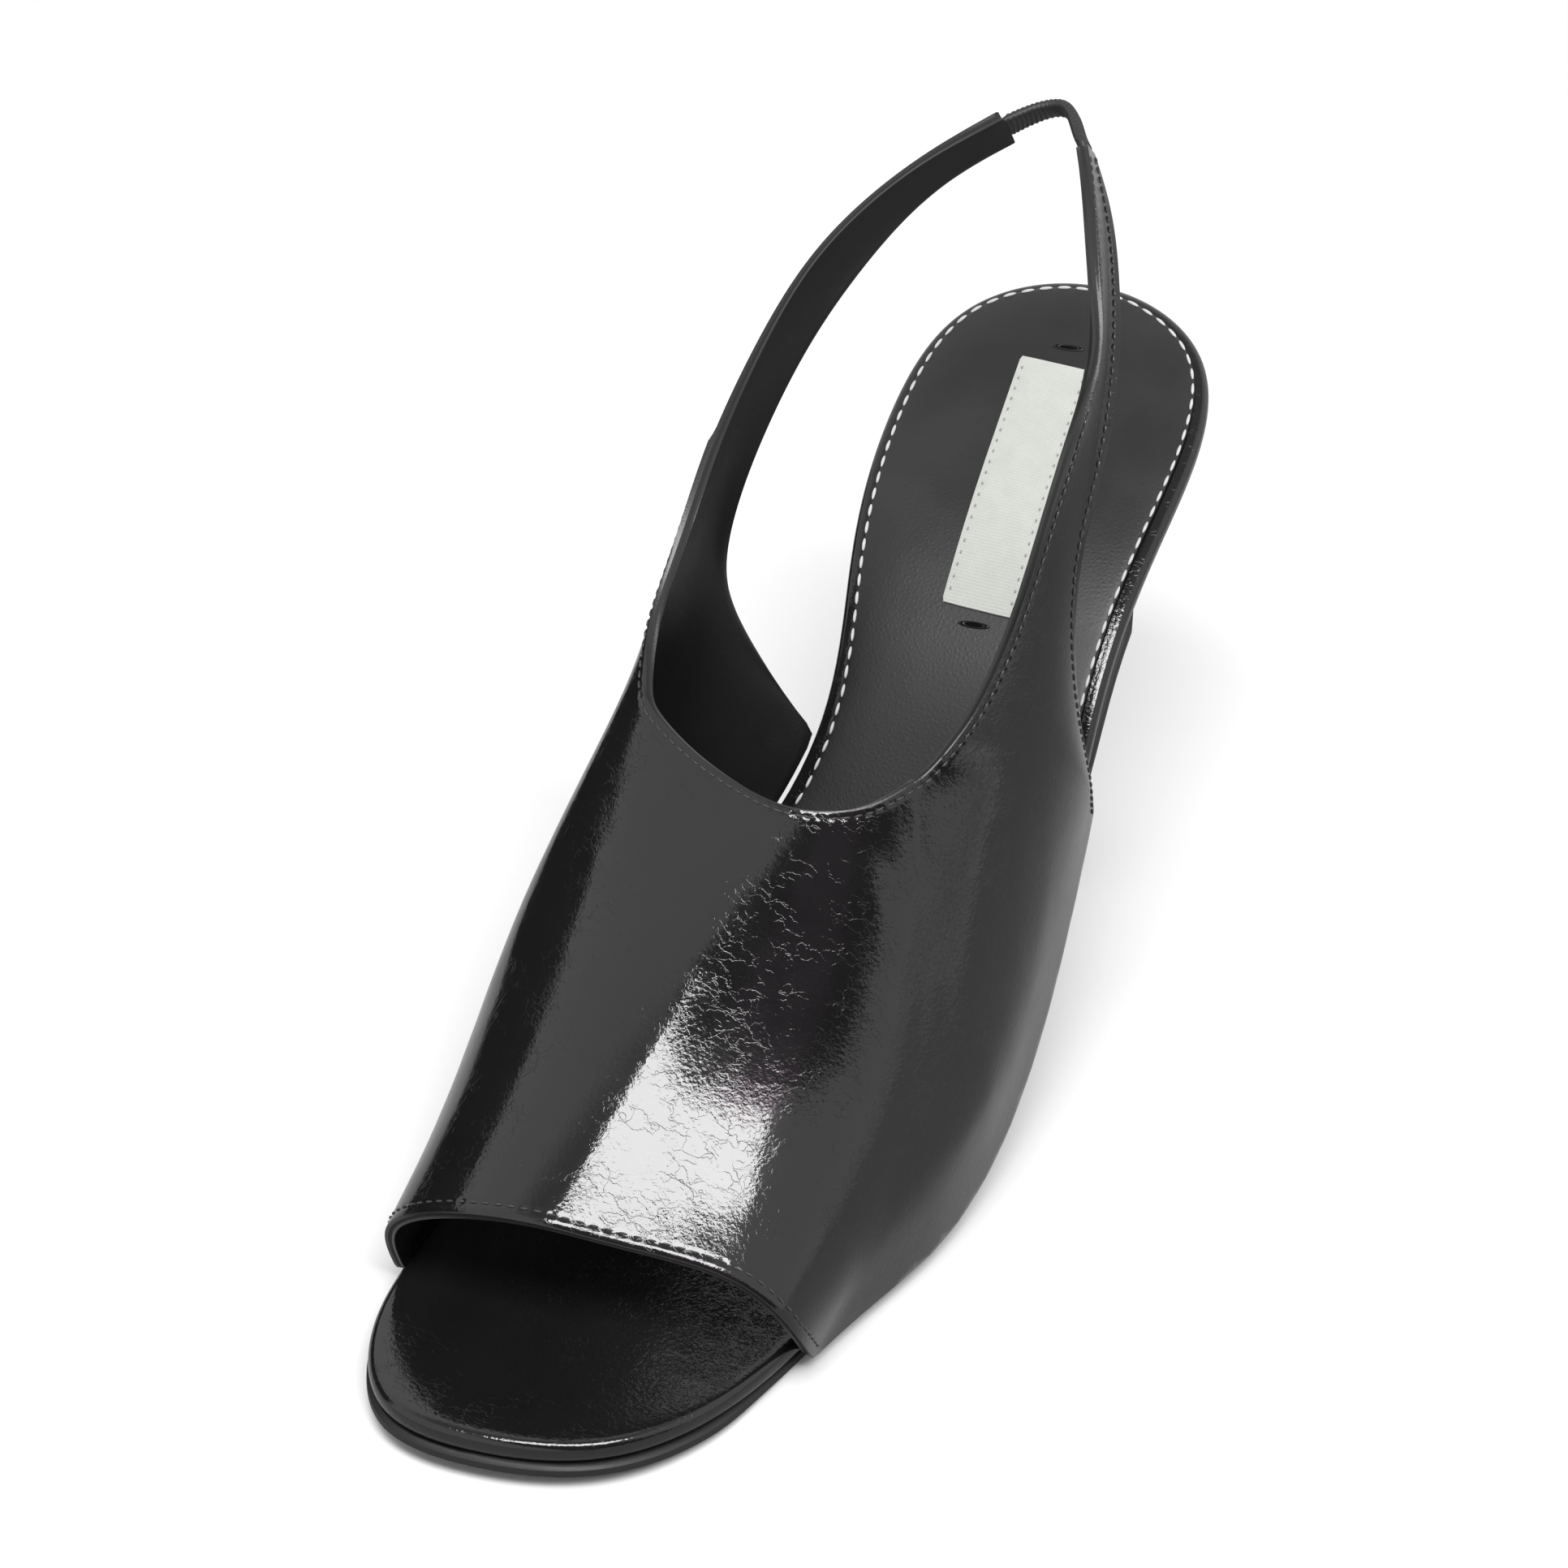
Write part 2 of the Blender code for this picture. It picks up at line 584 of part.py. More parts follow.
def last_section(along):
    """One cross section of the last, from the inner sole edge over the crest to the outer edge."""
    share = min(max(along / SOLE_LENGTH, SECTIONS_START), SECTIONS_END)
    crest, crest_rise, inner, inner_rise, outer, outer_rise, slope = SECTION_VALUES(share)[0]
    base = climb(along)
    top = (crest * BALL_WIDTH, base + crest_rise * INSTEP_RISE)
    halves = []
    for side, sign, flare, rise, bend in ((WALL_INNER, -1, inner, inner_rise, 1.0),
                                          (WALL_OUTER, 1, outer, outer_rise, slope)):
        foot = sole_edge(side, station_above(along, WALL_DEPTH))
        height = max(base + rise * INSTEP_RISE, foot[2] + LEAST_SIDE)
        wide = (foot[0] + sign * flare * BALL_WIDTH, height)
        halves.append(half_section((foot[0], foot[2]), top, wide, bend))
    return halves


class LastSurface:
    """The last's surface as a grid of sections, read with a place along and round the foot."""

    def __init__(self):
        self.along = np.linspace(SECTIONS_START, SECTIONS_END, SECTION_COUNT) * SOLE_LENGTH
        self.rows = []
        for along in self.along:
            row = []
            for half in last_section(along):
                row.append(even(half, SECTION_STEPS + 1))
            self.rows.append(np.vstack([row[0], row[1][::-1][1:]]))
        self.rows = np.array(self.rows)
        self.round = np.linspace(-1, 1, self.rows.shape[1])

    def section(self, along):
        place = np.interp(along, self.along, np.arange(len(self.along)))
        low = min(int(place), len(self.along) - 2)
        share = place - low
        return self.rows[low] * (1 - share) + self.rows[low + 1] * share

    def point(self, along, around):
        row = self.section(along)
        return np.array([np.interp(around, self.round, row[:, 0]), along,
                         np.interp(around, self.round, row[:, 1])])

    def nearest(self, point):
        """Place round the foot of the section's point that is nearest to a given point."""
        row = self.section(point[1])
        starts, ends = row[:-1], row[1:]
        spans = ends - starts
        target = np.array([point[0], point[2]])
        share = np.clip(((target - starts) * spans).sum(1) / (spans ** 2).sum(1), 0, 1)
        gaps = np.linalg.norm(starts + spans * share[:, None] - target, axis=1)
        k = int(gaps.argmin())
        return self.round[k] + share[k] * (self.round[k + 1] - self.round[k])


def table_point(along, across, rise):
    y = along * SOLE_LENGTH
    return np.array([across * BALL_WIDTH, y, climb(y) + rise * INSTEP_RISE])


def lower_edge():
    """Lower edge of the upper for every rib: smooth between its corners, on the sole where it stands."""
    stands = [row.low_across is None for row in UPPER_RIBS]
    knots = np.cumsum([row.steps for row in UPPER_RIBS])
    points = []
    for index, row in enumerate(UPPER_RIBS):
        if stands[index]:
            side = WALL_INNER if index < len(UPPER_RIBS) / 2 else WALL_OUTER
            points.append(np.array(sole_edge(side, row.low_along * SOLE_LENGTH)))
        else:
            points.append(table_point(row.low_along, row.low_across, row.low_rise))
    corners = [0]
    corners += [i for i in range(1, len(stands)) if stands[i] != stands[i - 1] and stands[i]]
    corners += [i for i in range(len(stands) - 1) if stands[i] != stands[i + 1] and stands[i]]
    corners = sorted(corners) + [len(stands) - 1]
    result = []
    for first, last in zip(corners, corners[1:]):
        places = np.arange(knots[first], knots[last] + 1)
        if stands[first] and stands[first + 1]:
            side = WALL_INNER if first < len(UPPER_RIBS) / 2 else WALL_OUTER
            along = [UPPER_RIBS[i].low_along * SOLE_LENGTH for i in range(first, last + 1)]
            along = spline(knots[first:last + 1], along)(places)
            part = np.array([sole_edge(side, y) for y in along])
        else:
            part = spline(knots[first:last + 1], np.array(points[first:last + 1]))(places)
        result.append(part if first == 0 else part[1:])
    return np.vstack(result)


def top_edge():
    knots = np.cumsum([row.steps for row in UPPER_RIBS])
    points = [table_point(row.top_along, row.top_across, row.top_rise) for row in UPPER_RIBS]
    return spline(knots, np.array(points))(np.arange(knots[-1] + 1))


def on_last(last, top, low, share):
    """Point of a rib on the last's surface, shifted so that the rib still ends at both edges."""
    ends = []
    for point in (top, low):
        around = last.nearest(point)
        ends.append((point[1], around, point - last.point(point[1], around)))
    along = ends[0][0] + (ends[1][0] - ends[0][0]) * share
    around = ends[0][1] + (ends[1][1] - ends[0][1]) * share
    return last.point(along, around) + ends[0][2] * (1 - share) + ends[1][2] * share


def wall_net():
    """Outer face of the upper as rows of points, one row for each rib from top edge to lower edge."""
    last = LastSurface()
    net = []
    for top, low in zip(top_edge(), lower_edge()):
        loose = ease((top[1] + low[1]) / 2 / SOLE_LENGTH, STRAP_START, STRAP_FREE)
        rib = []
        for k in range(WALL_STEPS + 1):
            share = k / WALL_STEPS
            point = top + (low - top) * share
            if loose < 1:
                point = point * loose + on_last(last, top, low, share) * (1 - loose)
            rib.append(point)
        net.append(rib)
    return np.array(net)


def fair(net):
    """Even out the wings where they turn into the straps; the edges and the vamp keep their places."""
    middles = net.mean(axis=1)[1:-1, 1] / SOLE_LENGTH
    pull = FAIRING_PULL * np.array([ease(middle, FAIRING_START, FAIRING_FULL) for middle in middles])
    for _ in range(FAIRING_PASSES):
        around = (net[:-2, 1:-1] + net[2:, 1:-1] + net[1:-1, :-2] + net[1:-1, 2:]) / 4
        across, along = net[2:, 1:-1] - net[:-2, 1:-1], net[1:-1, 2:] - net[1:-1, :-2]
        lengths = np.linalg.norm(across, axis=2) * np.linalg.norm(along, axis=2)
        square = np.cross(across, along) / lengths[:, :, None]
        height = ((around - net[1:-1, 1:-1]) * square).sum(axis=2) * pull[:, None]
        net[1:-1, 1:-1] += square * height[:, :, None]
    return net


def make_upper():
    """Vamp, side wings and both straps as one wall: a net of ribs given its thickness inwards."""
    builder = bmesh.new()
    ribs = [[builder.verts.new(point) for point in rib] for rib in fair(wall_net())]
    for rib, after in zip(ribs, ribs[1:]):
        for k in range(WALL_STEPS):
            builder.faces.new((rib[k], rib[k + 1], after[k + 1], after[k]))
    mesh = bpy.data.meshes.new("upper")
    builder.to_mesh(mesh)
    builder.free()
    piece = bpy.data.objects.new("upper", mesh)
    SHOE.objects.link(piece)
    wall = piece.modifiers.new("wall", "SOLIDIFY")
    wall.thickness = WALL
    wall.offset = -1
    wall.use_even_offset = False
    return finish(piece, (0.010, 0.010, 0.011), 0.12, sharp_degrees=60)


def strap_end(index, after):
    """Middle of a strap's end face, the direction square to it and the one down along it."""
    top, low = top_edge(), lower_edge()
    down = low[index] - top[index]
    down /= np.linalg.norm(down)
    back = (top[index] + low[index] - top[after] - low[after]) / 2
    inward = np.cross(back, down)
    inward /= math.copysign(np.linalg.norm(inward), -inward[0] * top[index][0])
    outward = np.cross(down, inward)
    outward /= math.copysign(np.linalg.norm(outward), outward @ back)
    return (top[index] + low[index] + inward * WALL) / 2, outward, down


def make_elastic():
    """Flat elastic from one strap's end round the back of the ankle to the other's."""
    inner_end, inner_out, inner_down = strap_end(0, 1)
    outer_end, outer_out, outer_down = strap_end(-1, -2)
    start = inner_end + inner_out * ELASTIC_GAP
    stop = outer_end + outer_out * ELASTIC_GAP
    handle = np.array([1, 1, ELASTIC_LEVEL]) * ELASTIC_HANDLE
    share = np.linspace(0, 1, ELASTIC_STEPS + 1)[:, None]
    centre = ((1 - share) ** 3 * start + 3 * share * (1 - share) ** 2 * (start + inner_out * handle)
              + 3 * share ** 2 * (1 - share) * (stop + outer_out * handle) + share ** 3 * stop)
    builder = bmesh.new()
    loops = []
    for k, point in enumerate(centre):
        ahead = centre[min(k + 1, len(centre) - 1)] - centre[max(k - 1, 0)]
        if k == 0:
            ahead = inner_out
        if k == len(centre) - 1:
            ahead = -outer_out
        ahead = ahead / np.linalg.norm(ahead)
        share = k / (len(centre) - 1)
        down = inner_down * (1 - share) + outer_down * share
        down = down - ahead * (down @ ahead)
        down /= np.linalg.norm(down)
        side = np.cross(ahead, down)
        loop = []
        for a, b in ELASTIC_SECTION:
            corner = point + down * a * ELASTIC_WIDTH / 2 + side * b * ELASTIC_THICK / 2
            loop.append(builder.verts.new(corner))
        loops.append(loop)
    for loop, after in zip(loops, loops[1:]):
        for k in range(len(loop)):
            n = (k + 1) % len(loop)
            builder.faces.new((loop[k], loop[n], after[n], after[k]))
    builder.faces.new(loops[0])
    builder.faces.new(loops[-1])
    return finish(new_object("elastic", builder), (0.012, 0.012, 0.013), 0.65)


def stand_on_origin(pieces):
    """Move every piece so that the middle of the shoe's box, at the floor, is the origin."""
    bpy.context.view_layer.update()
    corners = []
    for piece in pieces:
        shape = piece.evaluated_get(bpy.context.evaluated_depsgraph_get()).to_mesh()
        corners += [tuple(vertex.co) for vertex in shape.vertices]
    corners = np.array(corners)
    low, high = corners.min(0), corners.max(0)
    shift = (-(low[0] + high[0]) / 2, -(low[1] + high[1]) / 2, 0)
    for piece in pieces:
        for vertex in piece.data.vertices:
            vertex.co = (vertex.co[0] + shift[0], vertex.co[1] + shift[1], vertex.co[2] + shift[2])
    print("moved by", [round(value * 1000, 3) for value in shift], "mm")


for old in list(bpy.data.objects):
    bpy.data.objects.remove(old)
SHOE = bpy.data.collections.new("slingback sandal")
bpy.context.scene.collection.children.link(SHOE)
stand_on_origin([
    make_outsole(),
    make_insole(),
    make_sock(),
    make_label(),
    make_heel(),
    make_top_piece(),
    make_upper(),
    make_elastic(),
])
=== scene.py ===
import json
import math

import bmesh
import bpy
import numpy as np
from mathutils import Matrix, Vector
from mathutils.bvhtree import BVHTree

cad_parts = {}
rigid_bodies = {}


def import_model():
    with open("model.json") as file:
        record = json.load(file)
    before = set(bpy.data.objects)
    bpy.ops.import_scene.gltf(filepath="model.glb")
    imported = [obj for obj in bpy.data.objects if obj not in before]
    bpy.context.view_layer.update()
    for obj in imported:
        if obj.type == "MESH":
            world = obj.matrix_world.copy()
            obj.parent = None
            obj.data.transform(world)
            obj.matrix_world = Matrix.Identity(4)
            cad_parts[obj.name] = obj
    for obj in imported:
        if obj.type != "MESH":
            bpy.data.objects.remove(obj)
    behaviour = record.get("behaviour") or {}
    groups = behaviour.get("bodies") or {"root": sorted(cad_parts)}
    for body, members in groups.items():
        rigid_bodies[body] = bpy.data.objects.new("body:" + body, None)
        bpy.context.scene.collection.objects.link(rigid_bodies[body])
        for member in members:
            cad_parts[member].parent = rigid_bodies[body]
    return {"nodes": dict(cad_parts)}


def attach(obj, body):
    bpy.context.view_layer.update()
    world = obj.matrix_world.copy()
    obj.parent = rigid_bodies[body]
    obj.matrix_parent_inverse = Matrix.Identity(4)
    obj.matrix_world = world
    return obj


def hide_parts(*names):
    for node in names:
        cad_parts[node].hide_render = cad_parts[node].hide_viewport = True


# The packed sandal: one left shoe standing on the floor with its toe towards -Y. Everything below
# is fixed to it and rides on its only body. All lengths are in metres.
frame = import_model()
nodes = frame["nodes"]
for stray in [thing for thing in bpy.data.objects if thing.name in ("Cube", "Light", "Camera")]:
    bpy.data.objects.remove(stray)
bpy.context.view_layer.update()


# Outsole: thin leather sole, dyed black, with a buffed edge. It is cemented under the wrapped
# insole from the toe tip to the heel's breast; the skin is the CAD node's, with its facets rounded.
def put_node(tree, kind, inputs=None, **settings):
    """Adds one shader node; an input is either a number or colour, or another node's output."""
    made = tree.nodes.new(kind)
    for key, value in settings.items():
        setattr(made, key, value)
    for key, value in (inputs or {}).items():
        if isinstance(value, bpy.types.NodeSocket):
            tree.links.new(value, made.inputs[key])
        else:
            made.inputs[key].default_value = value
    return made


def begin_material(name):
    """A new material with its tree, its main shader and the piece's own coordinates in metres."""
    material = bpy.data.materials.new(name)
    material.use_nodes = True
    tree = material.node_tree
    shader = tree.nodes["Principled BSDF"]
    place = put_node(tree, "ShaderNodeTexCoord").outputs["Object"]
    return material, tree, shader, place


def maths(tree, operation, first, second=0.0):
    """One sum of two values."""
    return put_node(tree, "ShaderNodeMath", {0: first, 1: second}, operation=operation).outputs[0]


def between(tree, value, low, high, to_low=0.0, to_high=1.0):
    """The value taken from one range to another, smoothly and held at its ends."""
    inputs = {"Value": value, 1: low, 2: high, 3: to_low, 4: to_high}
    return put_node(tree, "ShaderNodeMapRange", inputs, interpolation_type="SMOOTHSTEP").outputs[0]


def noise(tree, place, per_metre, detail=2.0):
    """Soft noise with so many waves in a metre."""
    inputs = {"Vector": place, "Scale": per_metre, "Detail": detail}
    return put_node(tree, "ShaderNodeTexNoise", inputs).outputs["Fac"]


def cracks(tree, place, per_metre, width):
    """Thin lines between cells: 1 on a line and 0 away from it."""
    inputs = {"Vector": place, "Scale": per_metre}
    cells = put_node(tree, "ShaderNodeTexVoronoi", inputs, feature="DISTANCE_TO_EDGE")
    return between(tree, cells.outputs["Distance"], 0.0, width, 1.0, 0.0)


def raise_surface(tree, shader, height, coat=False):
    """Turns a height in metres into bump on the shader, and on its coat where it has one."""
    bump = put_node(tree, "ShaderNodeBump", {"Height": height, "Strength": 1.0, "Distance": 1.0})
    tree.links.new(bump.outputs["Normal"], shader.inputs["Normal"])
    if coat:
        tree.links.new(bump.outputs["Normal"], shader.inputs["Coat Normal"])


def blend_colours(tree, share, first, second):
    """A mix of two colours."""
    mix = put_node(tree, "ShaderNodeMix", {"Factor": share}, data_type="RGBA")
    mix.inputs[6].default_value = (*first, 1.0)
    mix.inputs[7].default_value = (*second, 1.0)
    return mix.outputs[2]


def smooth_leather(name, dark, light, rough, per_metre, grain, shine=0.4):
    """Dull leather: soft patches of tone, and a fine pebble grain of that height in metres."""
    material, tree, shader, place = begin_material(name)
    patches = noise(tree, place, 60.0, 3.0)
    worn = between(tree, patches, 0.3, 0.7, rough - 0.04, rough + 0.05)
    tree.links.new(blend_colours(tree, patches, dark, light), shader.inputs["Base Color"])
    tree.links.new(worn, shader.inputs["Roughness"])
    shader.inputs["Specular IOR Level"].default_value = shine
    gaps = maths(tree, "MULTIPLY", cracks(tree, place, per_metre, 0.5), -grain)
    fine = maths(tree, "MULTIPLY", noise(tree, place, per_metre * 1.7), grain * 0.5)
    raise_surface(tree, shader, maths(tree, "ADD", gaps, fine))
    return material


def only(piece):
    """Selects this piece alone and makes it the active one."""
    bpy.ops.object.select_all(action="DESELECT")
    piece.select_set(True)
    bpy.context.view_layer.objects.active = piece


def copy_node(node, name):
    """A new piece with a CAD node's shape, its loose triangles sewn into one skin of quads."""
    piece = bpy.data.objects.new(name, nodes[node].data.copy())
    bpy.context.scene.collection.objects.link(piece)
    piece.data.materials.clear()
    only(piece)
    bpy.ops.mesh.customdata_custom_splitnormals_clear()
    bpy.ops.object.mode_set(mode="EDIT")
    bpy.ops.mesh.select_all(action="SELECT")
    bpy.ops.mesh.remove_doubles(threshold=1e-6)
    bpy.ops.mesh.tris_convert_to_quads(face_threshold=math.radians(60), shape_threshold=math.pi)
    bpy.ops.object.mode_set(mode="OBJECT")
    return piece


def crease_sharp(piece, angle, amount):
    """Keeps the edges that turn by more than the angle crisp when the piece is rounded off."""
    only(piece)
    bpy.ops.object.mode_set(mode="EDIT")
    bpy.ops.mesh.select_all(action="DESELECT")
    bpy.ops.mesh.select_mode(type="EDGE")
    bpy.ops.mesh.edges_select_sharp(sharpness=math.radians(angle))
    bpy.ops.transform.edge_crease(value=amount)
    bpy.ops.mesh.select_mode(type="FACE")
    bpy.ops.object.mode_set(mode="OBJECT")


def round_off(piece, levels):
    """Rounds the facets off by subdivision and shades the skin smooth."""
    only(piece)
    rounding = piece.modifiers.new("rounding", "SUBSURF")
    rounding.levels = levels
    rounding.render_levels = levels
    bpy.ops.object.modifier_apply(modifier=rounding.name)
    bpy.ops.object.shade_smooth_by_angle(angle=math.radians(40))


sole_dark = (0.006, 0.006, 0.0065)
sole_light = (0.014, 0.014, 0.015)
outsole = copy_node("outsole", "outsole_leather")
crease_sharp(outsole, 35, 0.8)
round_off(outsole, 1)
outsole.data.materials.append(smooth_leather("buffed_leather", sole_dark, sole_light, 0.5, 900.0, 9e-6))
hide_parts("outsole")
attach(outsole, "root")


# Insole: a moulded board wrapped in crinkled patent leather, which shows at the toe, along its
# rounded rim and down the sides of the waist. The wrapping is drawn tight and cemented below.
patent_dark = (0.004, 0.004, 0.0042)
patent_light = (0.009, 0.0085, 0.009)
crease_turn = (0.3, 0.2, 0.6)
crease_stretch = (0.45, 1.3, 1.0)
long_crease_depth = 10e-6
short_crease_depth = 4e-6
grain_height = 25e-6
wave_height = 60e-6
pucker_pitch = 0.0019
pucker_reach = 0.0009


def patent_leather(name, crease=1.0, grain=1.0, wave=1.0, seam=0.0):
    """Black patent: a clear gloss over leather with hairline creases, fine grain and slow waves.
    A seam depth in metres adds the puckered trough that a row of stitches pulls into it."""
    material, tree, shader, place = begin_material(name)
    tint = blend_colours(tree, noise(tree, place, 45.0), patent_dark, patent_light)
    smear = between(tree, noise(tree, place, 140.0, 3.0), 0.3, 0.7, 0.16, 0.26)
    tree.links.new(tint, shader.inputs["Base Color"])
    tree.links.new(smear, shader.inputs["Roughness"])
    shader.inputs["Specular IOR Level"].default_value = 0.05
    shader.inputs["Coat Weight"].default_value = 1.0
    shader.inputs["Coat Roughness"].default_value = 0.05

    # The creases are the borders of cells on bent, stretched coordinates, and come and go in patches.
    wander = put_node(tree, "ShaderNodeTexNoise", {"Vector": place, "Scale": 420.0, "Detail": 3.0})
    inputs = {0: wander.outputs["Color"], 1: (0.004, 0.004, 0.004)}
    push = put_node(tree, "ShaderNodeVectorMath", inputs, operation="MULTIPLY").outputs[0]
    bent = put_node(tree, "ShaderNodeVectorMath", {0: place, 1: push}, operation="ADD").outputs[0]
    inputs = {"Vector": bent, "Rotation": crease_turn, "Scale": crease_stretch}
    turned = put_node(tree, "ShaderNodeMapping", inputs).outputs[0]
    long_patches = between(tree, noise(tree, place, 190.0, 3.0), 0.44, 0.6)
    short_patches = between(tree, noise(tree, place, 330.0), 0.42, 0.56)
    long_creases = maths(tree, "MULTIPLY", cracks(tree, turned, 400.0, 0.035), long_patches)
    short_creases = maths(tree, "MULTIPLY", cracks(tree, bent, 850.0, 0.12), short_patches)
    height = maths(tree, "MULTIPLY", long_creases, -long_crease_depth * crease)
    for pattern, rise in (
        (short_creases, -short_crease_depth * crease),
        (noise(tree, place, 1400.0), grain_height * grain),
        (noise(tree, place, 130.0, 1.0), wave_height * wave),
    ):
        height = maths(tree, "ADD", height, maths(tree, "MULTIPLY", pattern, rise))
    if seam:
        off = put_node(tree, "ShaderNodeAttribute", attribute_name="off_seam").outputs["Fac"]
        along = put_node(tree, "ShaderNodeAttribute", attribute_name="along_seam").outputs["Fac"]
        near = between(tree, maths(tree, "ABSOLUTE", off), 0.0, pucker_reach, 1.0, 0.0)
        beat = maths(tree, "SINE", maths(tree, "MULTIPLY", along, math.tau / pucker_pitch))
        beat = maths(tree, "ADD", maths(tree, "MULTIPLY", beat, 0.35), 0.65)
        pull = maths(tree, "MULTIPLY", maths(tree, "MULTIPLY", near, beat), -seam)
        height = maths(tree, "ADD", height, pull)
    raise_surface(tree, shader, height, coat=True)
    return material


insole = copy_node("insole", "insole_wrapped")
round_off(insole, 2)
insole.data.materials.append(patent_leather("insole_patent", crease=1.2, grain=1.3, wave=1.4))
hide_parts("insole")
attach(insole, "root")


# Sock: a thin foam pad covered in soft black nappa, glued on the insole from under the vamp to
# the back of the seat. A row of white stitches holds its cover down just inside the edge.
def regions(piece, angle):
    """The faces of a piece in groups that meet at less than the angle, as lists of face numbers."""
    skin = bmesh.new()
    skin.from_mesh(piece.data)
    skin.faces.ensure_lookup_table()
    seen = set()
    groups = []
    for first in skin.faces:
        if first.index in seen:
            continue
        seen.add(first.index)
        waiting = [first]
        group = []
        while waiting:
            face = waiting.pop()
            group.append(face.index)
            for edge in face.edges:
                if len(edge.link_faces) == 2 and edge.calc_face_angle(0.0) < math.radians(angle):
                    for other in edge.link_faces:
                        if other.index not in seen:
                            seen.add(other.index)
                            waiting.append(other)
        groups.append(group)
    skin.free()
    return groups


def border(piece, inner, outer):
    """The line where one group of faces meets others: its points, and the way from it into the
    first group, as two arrays in order along the line."""
    skin = bmesh.new()
    skin.from_mesh(piece.data)
    skin.faces.ensure_lookup_table()
    inner = set(inner)
    outer = set(outer)
    links = {}
    inward = {}
    for edge in skin.edges:
        faces = edge.link_faces
        if len(faces) != 2:
            continue
        mine = [face for face in faces if face.index in inner]
        theirs = [face for face in faces if face.index in outer]
        if len(mine) == 1 and len(theirs) == 1:
            start, end = edge.verts
            links.setdefault(start.index, []).append(end.index)
            links.setdefault(end.index, []).append(start.index)
            along = (end.co - start.co).normalized()
            way = mine[0].normal.cross(along).normalized()
            if way.dot(mine[0].calc_center_median() - (start.co + end.co) / 2) < 0:
                way = -way
            for corner in (start, end):
                inward[corner.index] = inward.get(corner.index, Vector()) + way
    ends = sorted(corner for corner in links if len(links[corner]) == 1)
    here = ends[0] if ends else min(links)
    order = [here]
    used = {here}
    while True:
        steps = [corner for corner in links[here] if corner not in used]
        if not steps:
            break
        here = steps[0]
        used.add(here)
        order.append(here)
    skin.verts.ensure_lookup_table()
    points = np.array([skin.verts[corner].co[:] for corner in order])
    ways = np.array([inward[corner].normalized()[:] for corner in order])
    skin.free()
    return points, ways


def spread(points, step, start=0.0, end=0.0):
    """Points at even steps along a line, with the line's direction at each; both ends may be cut."""
    lengths = np.r_[0.0, np.cumsum(np.linalg.norm(np.diff(points, axis=0), axis=1))]
    count = max(int((lengths[-1] - start - end) / step), 1)
    at = start + (np.arange(count) + 0.5) * (lengths[-1] - start - end) / count
    spots = np.array([np.interp(at, lengths, points[:, axis]) for axis in range(3)]).T
    ahead = np.array([np.interp(at + step * 0.3, lengths, points[:, axis]) for axis in range(3)]).T
    behind = np.array([np.interp(at - step * 0.3, lengths, points[:, axis]) for axis in range(3)]).T
    ways = ahead - behind
    ways /= np.linalg.norm(ways, axis=1)[:, None]
    return spots, ways


def skin_of(piece):
    """A search tree of the piece's surface."""
    depsgraph = bpy.context.evaluated_depsgraph_get()
    return BVHTree.FromObject(piece, depsgraph)


def model_stitch(length, width, rise):
    """One stitch: a short round thread that dips into the leather at both ends."""
    bpy.ops.object.select_all(action="DESELECT")
    bpy.ops.mesh.primitive_uv_sphere_add(segments=8, ring_count=6, radius=1.0)
    stitch = bpy.context.object
    bpy.ops.object.mode_set(mode="EDIT")
    bpy.ops.mesh.select_all(action="SELECT")
    bpy.ops.transform.rotate(value=math.pi / 2, orient_axis="Y", center_override=(0.0, 0.0, 0.0))
    bpy.ops.transform.resize(value=(length / 2, width / 2, rise), center_override=(0.0, 0.0, 0.0))
    bpy.ops.object.mode_set(mode="OBJECT")
    return stitch


def sew(name, stitch, rows, skin, sink=0.35):
    """Copies the stitch to every spot of the rows, laid on the skin, and joins the copies."""
    thread = bmesh.new()
    rise = max(corner.co.z for corner in stitch.data.vertices)
    for spots, ways in rows:
        for spot, way in zip(spots, ways):
            hit, normal, _, _ = skin.find_nearest(Vector(spot))
            way = Vector(way)
            way = (way - normal * way.dot(normal)).normalized()
            side = normal.cross(way)
            turn = Matrix((way, side, normal)).transposed().to_4x4()
            turn.translation = hit + normal * (rise * (0.5 - sink))
            copy = stitch.data.copy()
            copy.transform(turn)
            thread.from_mesh(copy)
            bpy.data.meshes.remove(copy)
    mesh = bpy.data.meshes.new(name)
    thread.to_mesh(mesh)
    thread.free()
    piece = bpy.data.objects.new(name, mesh)
    bpy.context.scene.collection.objects.link(piece)
    bpy.data.objects.remove(stitch)
    only(piece)
    bpy.ops.object.shade_smooth()
    return piece


def read_skin(piece):
    """The places and normals of a piece's points, as two arrays."""
    places = np.array([corner.co[:] for corner in piece.data.vertices])
    normals = np.array([corner.normal[:] for corner in piece.data.vertices])
    return places, normals


def twisted_thread(name, dark, light, rough=0.55):
    """Waxed sewing thread: slightly uneven tone and a fine twist."""
    material, tree, shader, place = begin_material(name)
    tone = noise(tree, place, 900.0, 3.0)
    tree.links.new(blend_colours(tree, tone, dark, light), shader.inputs["Base Color"])
    shader.inputs["Roughness"].default_value = rough
    shader.inputs["Specular IOR Level"].default_value = 0.35
    twist = put_node(tree, "ShaderNodeTexWave", {"Vector": place, "Scale": 1400.0, "Distortion": 2.0})
    raise_surface(tree, shader, maths(tree, "MULTIPLY", twist.outputs["Fac"], 2e-5))
    return material


